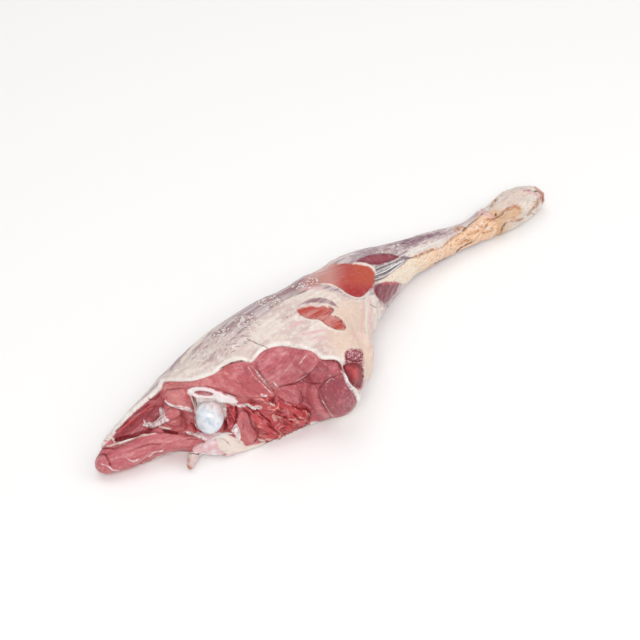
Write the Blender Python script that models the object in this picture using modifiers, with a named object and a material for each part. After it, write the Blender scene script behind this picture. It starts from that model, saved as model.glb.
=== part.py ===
"""Raw leg of lamb: the meat with its fat cover, and the two bones that run through it.

The leg lies on its side. +X runs along it from the rump to the hock, +Z is up, and the
butcher's cut across the hip faces -Y. Lengths are in millimetres until the last step,
which turns them into metres and puts the origin under the middle of the leg.
"""

import math

import bmesh
import bpy
import numpy as np
from mathutils import Matrix, Vector

MM = 0.001

# ---- driving sizes, in mm -------------------------------------------------------------
SECTION_STEP = 4.0        # spacing of the sections along the uncut leg
SECTION_POINTS = 72       # points round each section
MEAT_VOXEL = 2.4          # grid that melts the muscles into one body
HOLLOWS_VOXEL = 1.8       # finer grid that keeps the hollows cut into it
MELTED_TRIANGLES = 60000  # what the body is reduced to before the hollows are cut
MEAT_TRIANGLES = 6400     # what the finished body is reduced to
BONE_GAP = 0.4            # clearance between a bone and the meat round it
WELD_GAP = 0.02           # corners closer than this are one corner

# The uncut leg, seen square to its length: x, near side y, far side y, underside z,
# top z, and how square the section is (2 is an ellipse). An underside below zero is
# where the weight of the leg presses it flat on the table.
LEG_SECTIONS = (
    (-234, 14, 20, 5, 14, 2.2),
    (-230, 6, 26, 1, 20, 2.3),
    (-216, -4, 31, -3, 31, 2.3),
    (-194, -22, 35, -4, 44, 2.3),
    (-160, -45, 41, -5, 60, 2.3),
    (-120, -66, 49, -6, 74, 2.3),
    (-80, -80, 51, -6, 84, 2.3),
    (-40, -85, 49, -6, 88, 2.3),
    (-10, -75, 48, -5, 87, 2.0),
    (12, -50.5, 48, -3, 84, 2.0),
    (32, -35.5, 47, 0, 79, 2.1),
    (55, -18.5, 49, 2, 74, 2.0),
    (80, -7.5, 48, 3, 65, 2.0),
    (105, 3, 45, 3, 53, 2.0),
    (130, 11, 42, 2, 43, 2.0),
    (160, 13, 39, 1, 35, 2.0),
    (190, 11, 34, 0, 26, 2.0),
    (210, 8, 32, 0, 25, 2.0),
    (226, 4.5, 32.5, 0, 28.8, 2.0),
    (230, 6.5, 30.5, 2, 27, 2.0),
)

# The butcher's cut across the hip is a slanting face. For each x: where it meets the
# table side (y), and where it meets the fat cover on top (y and z).
HIP_CUT = (
    (-250, 22, 25, 14),
    (-236, 13, 23, 22),
    (-229, 9, 23, 26),
    (-208, 12, 26, 37),
    (-182, 2, 26, 46),
    (-159, -17, 19, 57),
    (-148, -29, 9, 64),
    (-135, -42, -1, 69),
    (-115, -48, -6, 76),
    (-95, -54, -11, 81),
    (-77, -59, -15, 84),
    (-63, -60, -23, 86),
    (-52, -63, -38, 86),
    (-45, -66, -58, 81),
    (-41, -67, -70, 72),
    (-31, -75, -84, 50),
    (-15, -84, -96, 50),
)
HIP_CUT_FOOT = 3.0        # height at which the cut's table-side line is taken
KNIFE_BELOW = -20.0       # the knife's body reaches this far under the table,
KNIFE_ABOVE = 30.0        # this far over the cut's upper edge
KNIFE_NEAR = -160.0       # and this far out in front of the leg
TABLE_CUT = ((-400, -300, -60), (400, 300, 0))    # what the table takes off the leg

# Muscles that swell out of the cut face: centre, half-widths, turn in degrees.
CUT_LOBES = (
    ("topside", (-70, -24, 63), (29, 12, 25), (-26, 0, 0)),
    ("under_topside", (-69, -39, 45), (21, 9, 16), (-26, 0, -18)),
    ("rim_muscle_crest", (-101, -15, 70), (18, 9, 12), (-26, 0, -12)),
    ("gracilis_end", (-48, -48, 74), (13, 9, 13), (-20, 0, -30)),
    ("round_lobe", (-35, -65, 41), (25, 17, 31), (-10, 0, -14)),
    ("hip_lobe_top", (-155, 1, 47), (9, 7, 8), (0, 0, -20)),
    ("hip_lobe_middle", (-166, 5, 36), (10, 8, 9), (0, 0, -20)),
    ("hip_lobe_low", (-163, -6, 27), (10, 7, 7), (0, 0, -20)),
    ("capsule_lip", (-140, -30, 10), (25, 8, 9), (0, 0, -31)),
)
# Muscles, membranes and tendons that run as rounded strands: points, then radii.
CUT_STRANDS = (
    (
        "tail_muscle",
        (
            (-238.5, 18.5, 12),
            (-236, 17, 12),
            (-225, 12, 12.5),
            (-205, 7, 14),
            (-184, 2, 17),
            (-166, -9, 20),
            (-148, -24, 21),
        ),
        (4, 9.5, 11.6, 12.2, 12.2, 11, 7),
    ),
    (
        "rim_muscle",
        ((-165, 15, 51), (-142, 1, 59), (-118, -11, 63), (-99, -27, 56), (-87, -37, 44)),
        (6, 9, 12, 12, 9),
    ),
    ("capsule_collar", ((-148, 1, 57), (-140, -7, 60), (-128, -18, 57), (-113, -27, 47)), (4, 5, 5, 4)),
    ("socket_muscle", ((-117, -20, 50), (-119, -29, 38), (-126, -37, 22)), (6, 7, 6)),
    ("torn_muscle_a", ((-112, -27, 43), (-102, -40, 25), (-93, -50, 10)), (7, 9, 8)),
    ("torn_muscle_b", ((-90, -38, 43), (-74, -49, 28), (-63, -57, 15)), (8, 9, 10)),
    ("torn_muscle_c", ((-104, -33, 38), (-86, -48, 22), (-78, -55, 12)), (6, 8, 8)),
    ("hip_membrane", ((-192, 11, 24), (-177, 11, 34), (-162, 9, 45)), (4, 4.5, 4)),
    ("low_fat_edge", ((-138, -37, 4), (-122, -42, 4), (-108, -47, 4), (-96, -52, 6)), (3, 3, 3, 3)),
    ("hanging_tag", ((-156, -20, 12), (-166, -27, 8), (-175, -34, 3.8)), (5, 4, 3.4)),
    ("small_tag", ((-136, -33, 8), (-139, -41, 4)), (4, 3.2)),
    (
        "fat_flap",
        ((12, -44, 66), (10, -54, 57), (7, -59, 44), (5, -61, 30), (3, -61, 22), (2, -61, 17)),
        (4, 6.5, 6, 5.5, 4.5, 2),
    ),
    (
        "heel_tendon",
        (
            (70, 10, 36),
            (104, 11, 33),
            (130, 18, 26),
            (160, 20, 20),
            (190, 18, 16),
            (212, 14, 16),
            (224, 13, 16),
        ),
        (6, 8.5, 8, 7.2, 7, 8, 8),
    ),
)
# The open pocket between the tail muscle and the fat cover, and the hollow of the gland.
POCKET = (((-217, 18, 23), (-200, 17, 27), (-184, 15, 33), (-168, 12, 42)), (3.5, 7.5, 8.5, 6.5))
GLAND_HOLLOW = ((-29, -70, 75), (7, 7, 13), (-24, 0, 12))

# The shin bone inside the shank, then the hock knuckle where it comes out.
SHANK_BONE_SECTIONS = (
    (57, 6, 30, 33, 57, 2.4),
    (66, 7, 30, 32, 54, 2.2),
    (90, 12, 30, 26, 42, 2.0),
    (140, 17, 31, 15, 29, 2.0),
    (190, 16, 28, 8, 19, 2.0),
    (218, 12, 27, 6, 20, 2.0),
    (225, 10, 28, 4.5, 23.5, 2.0),
    (227, 10, 28, 4.5, 24, 2.0),
    (228.2, 4.2, 32.6, 0.4, 29, 2.0),
    (238, 1.5, 33.5, 0, 31.8, 2.0),
    (250, -1, 34.5, 0, 34, 2.1),
    (262, -1.5, 34.5, 0, 34.5, 2.2),
    (274, -0.5, 32.5, 0.8, 33.5, 2.2),
    (284, 2, 29, 2, 30, 2.3),
    (291, 5.5, 24.5, 5, 25.5, 2.3),
    (295, 10, 20, 10, 20, 2.2),
)
THIGH_BONE_SECTIONS = (
    (-128, -4, 22, 30, 54, 2.2),
    (-116, -4, 24, 28, 56, 2.2),
    (-96, 3, 23, 32, 52, 2.0),
    (-40, 8, 24, 36, 52, 2.0),
    (20, 9, 26, 37, 54, 2.0),
    (40, 5, 30, 32, 58, 2.3),
    (55, 6, 30, 33, 57, 2.6),
)
HIP_BALL_CENTRE = (-143, -21, 42)
HIP_BALL_RADIUS = 14.0
HIP_NECK_RADIUS = 9.0
HIP_NECK_END = (-118, 8, 43)


# ---- tools ----------------------------------------------------------------------------
def collection(name):
    made = bpy.data.collections.new(name)
    bpy.context.scene.collection.children.link(made)
    return made


def clear_scene():
    for obj in list(bpy.data.objects):
        bpy.data.objects.remove(obj)


def add_object(name, mesh, home):
    obj = bpy.data.objects.new(name, mesh)
    home.objects.link(obj)
    return obj


def hide_helper(obj):
    obj.hide_render = True
    obj.display_type = "WIRE"


def smooth_between(xs, values, x):
    """A monotone cubic through the points (xs, values), read at x, with no overshoot."""
    xs = np.asarray(xs, float)
    values = np.asarray(values, float)
    slope = np.diff(values) / np.diff(xs)
    tangent = np.zeros_like(values)
    same_sign = slope[:-1] * slope[1:] > 0
    inner = np.zeros(len(slope) - 1)
    inner[same_sign] = 2 / (1 / slope[:-1][same_sign] + 1 / slope[1:][same_sign])
    tangent[1:-1] = inner
    tangent[0], tangent[-1] = slope[0], slope[-1]
    i = np.clip(np.searchsorted(xs, x) - 1, 0, len(slope) - 1)
    width = xs[i + 1] - xs[i]
    t = (x - xs[i]) / width
    return (
        values[i] * (2 * t**3 - 3 * t**2 + 1)
        + values[i + 1] * (3 * t**2 - 2 * t**3)
        + tangent[i] * width * (t**3 - 2 * t**2 + t)
        + tangent[i + 1] * width * (t**3 - t**2)
    )


def section_point(angle, near, far, low, high, squareness):
    """A point of a section: a superellipse between the four sides."""
    c, s = math.cos(angle), math.sin(angle)
    y = (near + far) / 2 + (far - near) / 2 * math.copysign(abs(c) ** (2 / squareness), c)
    z = (low + high) / 2 + (high - low) / 2 * math.copysign(abs(s) ** (2 / squareness), s)
    return y, z


def ring_places(xs, step):
    """Where the rings of a loft go: every station, and evenly between stations."""
    places = []
    for start, end in zip(xs, xs[1:]):
        count = max(1, round((end - start) / step))
        places += [start + (end - start) * i / count for i in range(count)]
    return places + [xs[-1]]


def loft(name, sections, home, step=SECTION_STEP, points=SECTION_POINTS, grow=0.0):
    """A closed body through sections that are square to X. grow thickens it all round."""
    table = np.array(sections, float)
    xs = table[:, 0]
    mesh = bmesh.new()
    rings = []
    for x in ring_places(xs, step):
        near, far, low, high, square = (
            smooth_between(xs, table[:, column], x) for column in range(1, 6)
        )
        end = -grow if x == xs[0] else grow if x == xs[-1] else 0.0
        ring = []
        for i in range(points):
            y, z = section_point(
                2 * math.pi * i / points,
                near - grow,
                far + grow,
                low - grow,
                high + grow,
                square,
            )
            ring.append(mesh.verts.new((x + end, y, z)))
        rings.append(ring)
    for ring, following in zip(rings, rings[1:]):
        for i in range(points):
            j = (i + 1) % points
            mesh.faces.new((ring[i], ring[j], following[j], following[i]))
    mesh.faces.new(reversed(rings[0]))
    mesh.faces.new(rings[-1])
    bmesh.ops.recalc_face_normals(mesh, faces=mesh.faces)
    data = bpy.data.meshes.new(name)
    mesh.to_mesh(data)
    mesh.free()
    return add_object(name, data, home)


def ball(name, centre, radii, home, turn=(0, 0, 0), segments=32, rings=20):
    """An egg of three half-widths, turned by angles in degrees about X, Y and Z."""
    mesh = bmesh.new()
    bmesh.ops.create_uvsphere(mesh, u_segments=segments, v_segments=rings, radius=1)
    spin = [Matrix.Rotation(math.radians(a), 4, axis) for a, axis in zip(turn, "XYZ")]
    place = Matrix.Translation(centre) @ spin[2] @ spin[1] @ spin[0]
    mesh.transform(place @ Matrix.Diagonal((*radii, 1)))
    data = bpy.data.meshes.new(name)
    mesh.to_mesh(data)
    mesh.free()
    return add_object(name, data, home)


def strand(name, points, radii, home, sides=4, resolution=6):
    """A rounded muscle or tendon along a smooth line, with a radius at each point."""
    curve = bpy.data.curves.new(name, "CURVE")
    curve.dimensions = "3D"
    curve.bevel_depth = 1.0
    curve.bevel_resolution = sides
    curve.resolution_u = resolution
    curve.use_fill_caps = True
    line = curve.splines.new("NURBS")
    line.points.add(len(points) - 1)
    for place, point, radius in zip(line.points, points, radii):
        place.co = (*point, 1)
        place.radius = radius
    line.use_endpoint_u = True
    line.order_u = 3
    guide = add_object(name + "_line", curve, home)
    graph = bpy.context.evaluated_depsgraph_get()
    data = bpy.data.meshes.new_from_object(guide.evaluated_get(graph))
    bpy.data.objects.remove(guide)
    welded = bmesh.new()
    welded.from_mesh(data)
    bmesh.ops.remove_doubles(welded, verts=welded.verts, dist=0.001)
    bmesh.ops.recalc_face_normals(welded, faces=welded.faces)
    welded.to_mesh(data)
    welded.free()
    return add_object(name, data, home)


def hip_knife(home):
    """The body that takes away everything in front of the slanting hip cut."""
    mesh = bmesh.new()
    rings = []
    for x, foot_y, rim_y, rim_z in HIP_CUT:
        lean = (rim_y - foot_y) / (rim_z - HIP_CUT_FOOT)
        ring = [
            (foot_y - lean * (HIP_CUT_FOOT - KNIFE_BELOW), KNIFE_BELOW),
            (foot_y, HIP_CUT_FOOT),
            (rim_y, rim_z),
            (rim_y + lean * KNIFE_ABOVE, rim_z + KNIFE_ABOVE),
            (KNIFE_NEAR, rim_z + KNIFE_ABOVE),
            (KNIFE_NEAR, KNIFE_BELOW),
        ]
        rings.append([mesh.verts.new((x, y, z)) for y, z in ring])
    for ring, following in zip(rings, rings[1:]):
        for i in range(len(ring)):
            j = (i + 1) % len(ring)
            mesh.faces.new((ring[i], ring[j], following[j], following[i]))
    mesh.faces.new(reversed(rings[0]))
    mesh.faces.new(rings[-1])
    bmesh.ops.triangulate(mesh, faces=mesh.faces)
    bmesh.ops.recalc_face_normals(mesh, faces=mesh.faces)
    data = bpy.data.meshes.new("hip_knife")
    mesh.to_mesh(data)
    mesh.free()
    return add_object("hip_knife", data, home)


def block(name, low, high, home):
    mesh = bmesh.new()
    bmesh.ops.create_cube(mesh, size=1)
    for vert in mesh.verts:
        vert.co = [a if c < 0 else b for a, b, c in zip(low, high, vert.co)]
    data = bpy.data.meshes.new(name)
    mesh.to_mesh(data)
    mesh.free()
    return add_object(name, data, home)


def apply_modifiers(obj):
    """Bake the object's modifiers into its mesh."""
    graph = bpy.context.evaluated_depsgraph_get()
    data = bpy.data.meshes.new_from_object(obj.evaluated_get(graph))
    obj.modifiers.clear()
    old = obj.data
    obj.data = data
    bpy.data.meshes.remove(old)


def boolean(obj, other, operation):
    cut = obj.modifiers.new(operation.lower(), "BOOLEAN")
    cut.operation = operation
    cut.solver = "EXACT"
    cut.object = other
    apply_modifiers(obj)


def join_meshes(name, objects, home):
    """One mesh holding all the bodies, still overlapping."""
    mesh = bmesh.new()
    for obj in objects:
        mesh.from_mesh(obj.data)
    data = bpy.data.meshes.new(name)
    mesh.to_mesh(data)
    mesh.free()
    return add_object(name, data, home)


def melt_together(obj, voxel, smoothing, triangles):
    """Fuse overlapping bodies into one skin, ease the joins and thin the triangles."""
    fuse = obj.modifiers.new("fuse", "REMESH")
    fuse.mode = "VOXEL"
    fuse.voxel_size = voxel
    ease = obj.modifiers.new("ease", "SMOOTH")
    ease.factor = 0.5
    ease.iterations = smoothing
    apply_modifiers(obj)
    count = sum(len(face.vertices) - 2 for face in obj.data.polygons)
    thin = obj.modifiers.new("thin", "DECIMATE")
    thin.decimate_type = "COLLAPSE"
    thin.ratio = triangles / count
    thin.use_collapse_triangulate = True
    apply_modifiers(obj)


def weld(obj, distance):
    mesh = bmesh.new()
    mesh.from_mesh(obj.data)
    bmesh.ops.remove_doubles(mesh, verts=mesh.verts, dist=distance)
    bmesh.ops.dissolve_degenerate(mesh, edges=mesh.edges, dist=distance)
    bmesh.ops.triangulate(mesh, faces=mesh.faces)
    bmesh.ops.recalc_face_normals(mesh, faces=mesh.faces)
    mesh.to_mesh(obj.data)
    mesh.free()


def material(name, colour, roughness):
    made = bpy.data.materials.new(name)
    made.use_nodes = True
    shader = made.node_tree.nodes["Principled BSDF"]
    linear = [((c / 255 + 0.055) / 1.055) ** 2.4 for c in colour]
    shader.inputs["Base Color"].default_value = (*linear, 1)
    shader.inputs["Roughness"].default_value = roughness
    shader.inputs["Metallic"].default_value = 0.0
    made.diffuse_color = (*linear, 1)
    return made


# ---- the bodies -----------------------------------------------------------------------
def make_thigh_bone(name, home, grow=0.0):
    """Ball, neck and shaft of the thigh bone as one body."""
    shaft = loft(name, THIGH_BONE_SECTIONS, home, step=22, points=16, grow=grow)
    head = ball(
        name + "_ball",
        HIP_BALL_CENTRE,
        [HIP_BALL_RADIUS + grow] * 3,
        home,
        turn=(60, 0, -35),
        segments=24,
        rings=14,
    )
    neck = strand(
        name + "_neck",
        (HIP_BALL_CENTRE, (-130, -6, 43), HIP_NECK_END),
        [HIP_NECK_RADIUS + grow] * 3,
        home,
        sides=2,
        resolution=2,
    )
    for part in (head, neck):
        boolean(shaft, part, "UNION")
        bpy.data.objects.remove(part)
    weld(shaft, WELD_GAP)
    return shaft


def make_shank_bone(name, home, grow=0.0):
    return loft(name, SHANK_BONE_SECTIONS, home, step=18, points=24, grow=grow)


def make_meat(home, cutters):
    """The whole soft part: muscle, fat cover, membranes and tendons, with the hip cut."""
    leg = loft("meat", LEG_SECTIONS, home)
    knife = hip_knife(cutters)
    pocket = strand("pocket_hollow", *POCKET, cutters)
    centre, radii, turn = GLAND_HOLLOW
    gland = ball("gland_hollow", centre, radii, cutters, turn=turn)
    boolean(leg, knife, "DIFFERENCE")
    pieces = [leg]
    for name, centre, radii, turn in CUT_LOBES:
        pieces.append(ball(name, centre, radii, home, turn=turn))
    for name, points, radii in CUT_STRANDS:
        pieces.append(strand(name, points, radii, home))
    meat = join_meshes("meat", pieces, home)
    for piece in pieces:
        bpy.data.objects.remove(piece)
    meat.name = "meat"
    melt_together(meat, MEAT_VOXEL, 3, MELTED_TRIANGLES)
    for hollow in (pocket, gland):
        boolean(meat, hollow, "DIFFERENCE")
    melt_together(meat, HOLLOWS_VOXEL, 2, MEAT_TRIANGLES)
    return meat


def main():
    clear_scene()
    home = collection("leg_of_lamb")
    cutters = collection("leg_of_lamb_cutters")

    meat = make_meat(home, cutters)
    table = block("table_cut", *TABLE_CUT, cutters)
    femur_room = make_thigh_bone("femur_room", cutters, grow=BONE_GAP)
    shank_room = make_shank_bone("shank_bone_room", cutters, grow=BONE_GAP)
    for cutter in (femur_room, shank_room, table):
        boolean(meat, cutter, "DIFFERENCE")
    weld(meat, WELD_GAP)
    femur = make_thigh_bone("femur", home)
    shank_bone = make_shank_bone("shank_bone", home)
    weld(shank_bone, WELD_GAP)

    lamb = material("raw_lamb", (186, 112, 110), 0.38)
    cartilage = material("hip_cartilage", (214, 217, 224), 0.28)
    knuckle = material("hock_knuckle", (226, 208, 188), 0.42)
    nodes = ((meat, lamb), (femur, cartilage), (shank_bone, knuckle))
    corners = [Vector(corner) for obj, look in nodes for corner in obj.bound_box]
    low = [min(corner[i] for corner in corners) for i in range(3)]
    high = [max(corner[i] for corner in corners) for i in range(3)]
    middle = Vector(((low[0] + high[0]) / 2, (low[1] + high[1]) / 2, low[2]))
    place = Matrix.Scale(MM, 4) @ Matrix.Translation(-middle)
    for obj, look in nodes:
        obj.data.transform(place)
        obj.data.materials.clear()
        obj.data.materials.append(look)
        obj.data.shade_smooth()
        obj.data.set_sharp_from_angle(angle=math.radians(50))
    for obj in cutters.objects:
        obj.data.transform(place)
        hide_helper(obj)


main()
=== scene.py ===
"""Raw leg of lamb, dressed for close view: muscle, fat cover, membranes, sinew and bone ends.

The show side, which faces the cut, is laid out in millimetres on a plane that stands
square to a fixed point beside the leg: across to the right, then up. Outlines of
muscles and windows in the fat are drawn there and carried onto the skin of the leg.
"""

import itertools
import math

import bmesh
import bpy
import numpy as np
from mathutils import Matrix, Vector
from mathutils.bvhtree import BVHTree


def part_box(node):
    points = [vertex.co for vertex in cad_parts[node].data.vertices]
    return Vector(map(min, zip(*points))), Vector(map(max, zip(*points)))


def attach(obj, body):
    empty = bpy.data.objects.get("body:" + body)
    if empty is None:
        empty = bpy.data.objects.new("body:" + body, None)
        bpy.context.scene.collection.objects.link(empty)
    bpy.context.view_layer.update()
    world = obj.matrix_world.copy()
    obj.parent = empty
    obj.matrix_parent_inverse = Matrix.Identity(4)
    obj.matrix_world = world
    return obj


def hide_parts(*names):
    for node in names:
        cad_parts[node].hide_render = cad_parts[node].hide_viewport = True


bl_info = {
    "name": "Raw leg of lamb",
    "version": (1, 0, 0),
    "blender": (4, 5, 0),
    "location": "3D View > Sidebar > Lamb",
    "description": "Builds a detailed raw leg of lamb around its packed solids",
    "category": "Object",
}

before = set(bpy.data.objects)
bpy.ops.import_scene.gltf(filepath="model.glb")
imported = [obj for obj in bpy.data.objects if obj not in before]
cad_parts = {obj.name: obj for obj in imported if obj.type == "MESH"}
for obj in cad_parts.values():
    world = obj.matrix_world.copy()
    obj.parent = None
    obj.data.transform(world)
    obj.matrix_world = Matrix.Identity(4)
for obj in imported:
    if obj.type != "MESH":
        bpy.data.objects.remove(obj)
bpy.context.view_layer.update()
MM = 0.001

# ---- the show side --------------------------------------------------------------------
SHOW_TURN = math.radians(-38.5)
SHOW_TILT = math.radians(50.0)
SHOW_DISTANCE = 1500.0                   # mm from the eye point to the drawing plane
BACK = np.array(
    (
        math.sin(SHOW_TURN) * math.cos(SHOW_TILT),
        -math.cos(SHOW_TURN) * math.cos(SHOW_TILT),
        math.sin(SHOW_TILT),
    )
)
RIGHT = np.array((math.cos(SHOW_TURN), math.sin(SHOW_TURN), 0.0))
UP = np.cross(BACK, RIGHT)
HOCK_LOW, HOCK_HIGH = (np.array(corner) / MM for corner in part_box("shank_bone"))
SHOW_ZERO = np.array((HOCK_HIGH[0] - 295.0, HOCK_LOW[1] + 2.0, 50.0))    # under the knee, mm
SHOW_EYE = SHOW_ZERO + BACK * SHOW_DISTANCE

# Closed outlines on the show plane: millimetres across and up.
OUTLINES = {
    "cut": (
        (-198, -116), (-179, -94), (-163, -79), (-146, -65), (-141, -57), (-119, -56.5),
        (-106, -53), (-96, -49), (-86, -41), (-74, -37.5), (-63, -39), (-54, -30), (-46, -26),
        (-33, -24), (-16, -27), (-6, -30), (1, -36), (11, -37), (17, -39), (20, -45), (22, -54),
        (27, -60), (32, -69), (33, -77), (29, -86), (18, -92), (-8, -93), (-16, -104),
        (-30, -112), (-50, -113), (-64, -115), (-78, -117), (-88, -121), (-104, -122),
        (-124, -121), (-146, -124), (-162, -134), (-190, -146), (-218, -146), (-218, -128),
    ),
    "main_lobe": (
        (-60, -38), (-54, -30), (-46, -26), (-33, -24), (-16, -27), (-6, -30), (0, -37),
        (-4, -43), (-12, -51), (-22, -58), (-38, -62), (-46, -59), (-53, -51),
    ),
    "small_lobe": (
        (1, -36), (11, -37), (17, -39), (20, -45), (18, -50), (11, -53), (2, -58), (-8, -58),
        (-15, -56), (-12, -51), (-4, -43),
    ),
    "big_lobe": (
        (20, -49), (22, -54), (27, -61), (32, -69), (33, -75), (30, -83), (22, -89), (12, -91),
        (5, -82), (0, -74), (-2, -66), (3, -58), (11, -53),
    ),
    "low_middle": (
        (-39, -63), (-30, -60), (-22, -58), (-8, -58), (-2, -66), (0, -74), (5, -82), (12, -92),
        (-10, -93), (-10, -83), (-24, -78), (-36, -72),
    ),
    "rim_muscle": (
        (-141, -57), (-119, -57), (-106, -53), (-96, -49), (-86, -41), (-74, -38), (-64, -39),
        (-53, -52), (-46, -61), (-40, -66), (-44, -71), (-64, -72), (-76, -71), (-83, -69),
        (-96, -63), (-106, -61), (-119, -61), (-141, -63),
    ),
    "torn": (
        (-72, -79), (-64, -73), (-53, -71), (-40, -70), (-28, -76), (-10, -80), (-8, -90),
        (-14, -101), (-29, -109), (-44, -114), (-56, -110), (-58, -98), (-66, -86),
    ),
    "thigh_slab": (
        (-73, -84), (-66, -86), (-60, -98), (-57, -108), (-64, -114), (-74, -113), (-75, -100),
        (-77, -92),
    ),
    "beside_ball": ((-88, -77), (-78, -78), (-77, -86), (-79, -97), (-86, -101), (-88, -88)),
    "ball_cap": (
        (-114, -70), (-107, -71.5), (-98, -73), (-88, -76), (-85, -80), (-85.5, -88), (-88, -90),
        (-92, -82), (-100, -79), (-108, -80), (-112.5, -88), (-115, -84), (-115, -76),
    ),
    "big_deep": ((0, -62), (8, -58), (14, -64), (14, -76), (8, -84), (3, -80), (0, -74)),
    "rim_light": ((-142, -57), (-119, -57), (-104, -53), (-100, -58), (-112, -61), (-142, -63)),
    "rim_deep": ((-74, -46), (-64, -43), (-54, -53), (-47, -62), (-52, -67), (-66, -66), (-74, -58)),
    "main_silver": ((-54, -50), (-46, -50), (-34, -56), (-30, -60), (-38, -62), (-48, -60)),
    "low_wedge": ((-90, -104), (-84, -101), (-80, -105), (-77, -112), (-84, -110)),
    "capsule": (
        (-121.5, -64), (-117, -61.5), (-108, -61.5), (-100, -63), (-93, -66), (-86, -69),
        (-79, -71.5), (-75, -75), (-80, -77), (-90, -75.5), (-100, -72.5), (-110, -71.5),
        (-118, -70), (-121, -67.5),
    ),
    "slot": ((-115, -66.5), (-111, -65.2), (-104, -66), (-98.5, -68), (-102, -69.3), (-109, -69)),
    "hip_muscle": (
        (-141, -64), (-120, -62), (-117, -70), (-114, -80), (-114, -92), (-113, -101),
        (-119, -104), (-130, -104), (-140, -102), (-127, -96), (-126, -86), (-132, -81),
        (-141, -78), (-146, -70),
    ),
    "hip_lobe": (
        (-142, -85), (-138, -81), (-131, -81.5), (-127, -87), (-127, -94), (-133, -98),
        (-140, -96), (-143, -91),
    ),
    "hip_low": (
        (-147, -98), (-142, -94.5), (-134, -91.5), (-127, -88), (-122.5, -93), (-122.5, -99),
        (-130, -103), (-139, -102),
    ),
    "hip_crest": (
        (-140, -66), (-131, -66), (-122, -66), (-119, -74), (-119, -82), (-128, -78), (-136, -75),
    ),
    "pocket": (
        (-192, -104), (-179, -93), (-163, -80), (-154, -72), (-147, -66), (-143, -70),
        (-145, -79), (-147, -88), (-157, -96), (-160, -102), (-172, -106), (-185, -111),
    ),
    "tail": (
        (-208, -124), (-202, -118), (-191, -115), (-183, -113), (-170, -108), (-158, -103),
        (-142, -103), (-128, -105), (-115, -107), (-105, -111), (-111, -116), (-126, -123),
        (-146, -122), (-158, -127), (-173, -137), (-191, -142), (-207, -142), (-213, -134),
    ),
    "lip": (
        (-113, -103), (-104, -104), (-92, -103), (-82, -106), (-76, -112), (-66, -117),
        (-78, -122), (-90, -124), (-112, -124), (-116, -118), (-107, -113), (-106, -109),
    ),
    "knee_window": (
        (-16, 33), (-7, 43), (4, 49), (17, 51), (28, 51), (39, 50), (47, 46), (49, 40),
        (48, 33), (43, 26), (37, 20), (28, 21), (19, 27), (12, 30), (0, 31), (-10, 30),
    ),
    "upper_window": (
        (-21, 9), (-13, 11.5), (-5, 12.5), (5, 12.5), (12, 9), (8, 4), (2, 0), (-4, 0.5),
        (-13, 2), (-19, 5),
    ),
    "lower_window": (
        (1, 0), (6, 4), (13, 3), (19, 0), (23, -8.5), (16, -9), (9, -6.5), (4, -3),
    ),
    "window_arc": (
        (-18, 14), (-10, 19), (2, 20), (11, 17), (17, 11), (12, 12), (3, 14.5), (-8, 15),
    ),
    "shin_lens": (
        (33, 52), (40, 57), (47, 60), (58, 61), (70, 59), (72, 57), (66, 54), (58, 51),
        (48, 49.5), (40, 50),
    ),
    "sinew_fan": ((49, 47), (61, 51), (75, 56), (80, 56), (70, 49), (60, 40), (49, 35)),
    "calf_triangle": (
        (48, 30), (53, 33.5), (62, 35), (73, 35.5), (71, 29), (66, 22), (60, 16), (54, 18),
        (49, 24),
    ),
    "gland": (
        (22, -39), (23, -29), (30, -27), (38, -29), (39, -46), (39, -58), (35, -64), (29, -60),
        (22, -51),
    ),
    "gland_core": (
        (21, -42), (27, -39), (34, -39), (38, -42), (39, -50), (37, -60), (31, -60), (25, -53),
    ),
    "fat": (
        (-142, -59), (-136, -46), (-119, -30), (-100, -15), (-90, -16), (-73, -8), (-53, 3),
        (-35, 15), (-20, 24), (-7, 27), (6, 27), (17, 24), (26, 19), (37, 18), (46, 22),
        (50, 22), (53, 17), (58, 12), (66, 10), (73, -9), (69, -92), (18, -120), (-18, -60),
        (-55, -50), (-86, -60), (-124, -75),
    ),
    "streaked": (
        (-116, -34), (-108, -18), (-96, -14), (-80, -9), (-66, -4), (-64, -18), (-72, -30),
        (-90, -34), (-104, -40),
    ),
    "rump_plum": ((-42, 20), (-30, 31), (-14, 36), (0, 36), (-4, 30), (-18, 24), (-32, 19)),
    "peach": ((12, 14), (34, 16), (44, 4), (48, -20), (46, -52), (20, -34), (6, -24), (8, -8)),
    "heel_sinew": (
        (49, 33), (58, 38), (70, 46), (80, 55), (90, 59), (100, 63), (112, 68), (122, 76),
        (131, 81), (140, 89), (152, 99), (200, 125), (230, 110), (190, 85), (165, 78),
        (145, 72), (127, 64), (110, 54), (92, 44), (78, 34), (72, 34), (61, 35),
    ),
    "shin_band": (
        (-18, 55), (18, 80), (55, 95), (92, 100), (125, 100), (128, 84), (111, 79), (100, 74),
        (85, 68), (70, 66), (60, 64), (48, 62), (29, 57), (15, 53),
    ),
    "shin_core": (
        (66, 66.5), (78, 67.5), (90, 71), (100, 74), (113, 78.5), (100, 77.5), (88, 75.5),
        (76, 72), (68, 69),
    ),
    "shin_cream": (
        (76, 60), (86, 66), (100, 72), (116, 77), (130, 84), (140, 92), (150, 101), (146, 95),
        (131, 81), (122, 76), (112, 68), (100, 63), (90, 59), (80, 56),
    ),
    "tag": ((-127, -121), (-111, -123), (-110, -130), (-114, -142), (-122, -142), (-125, -130)),
    "small_tag": ((-90, -122), (-78, -119), (-77, -128), (-84, -132), (-90, -129)),
}

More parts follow.
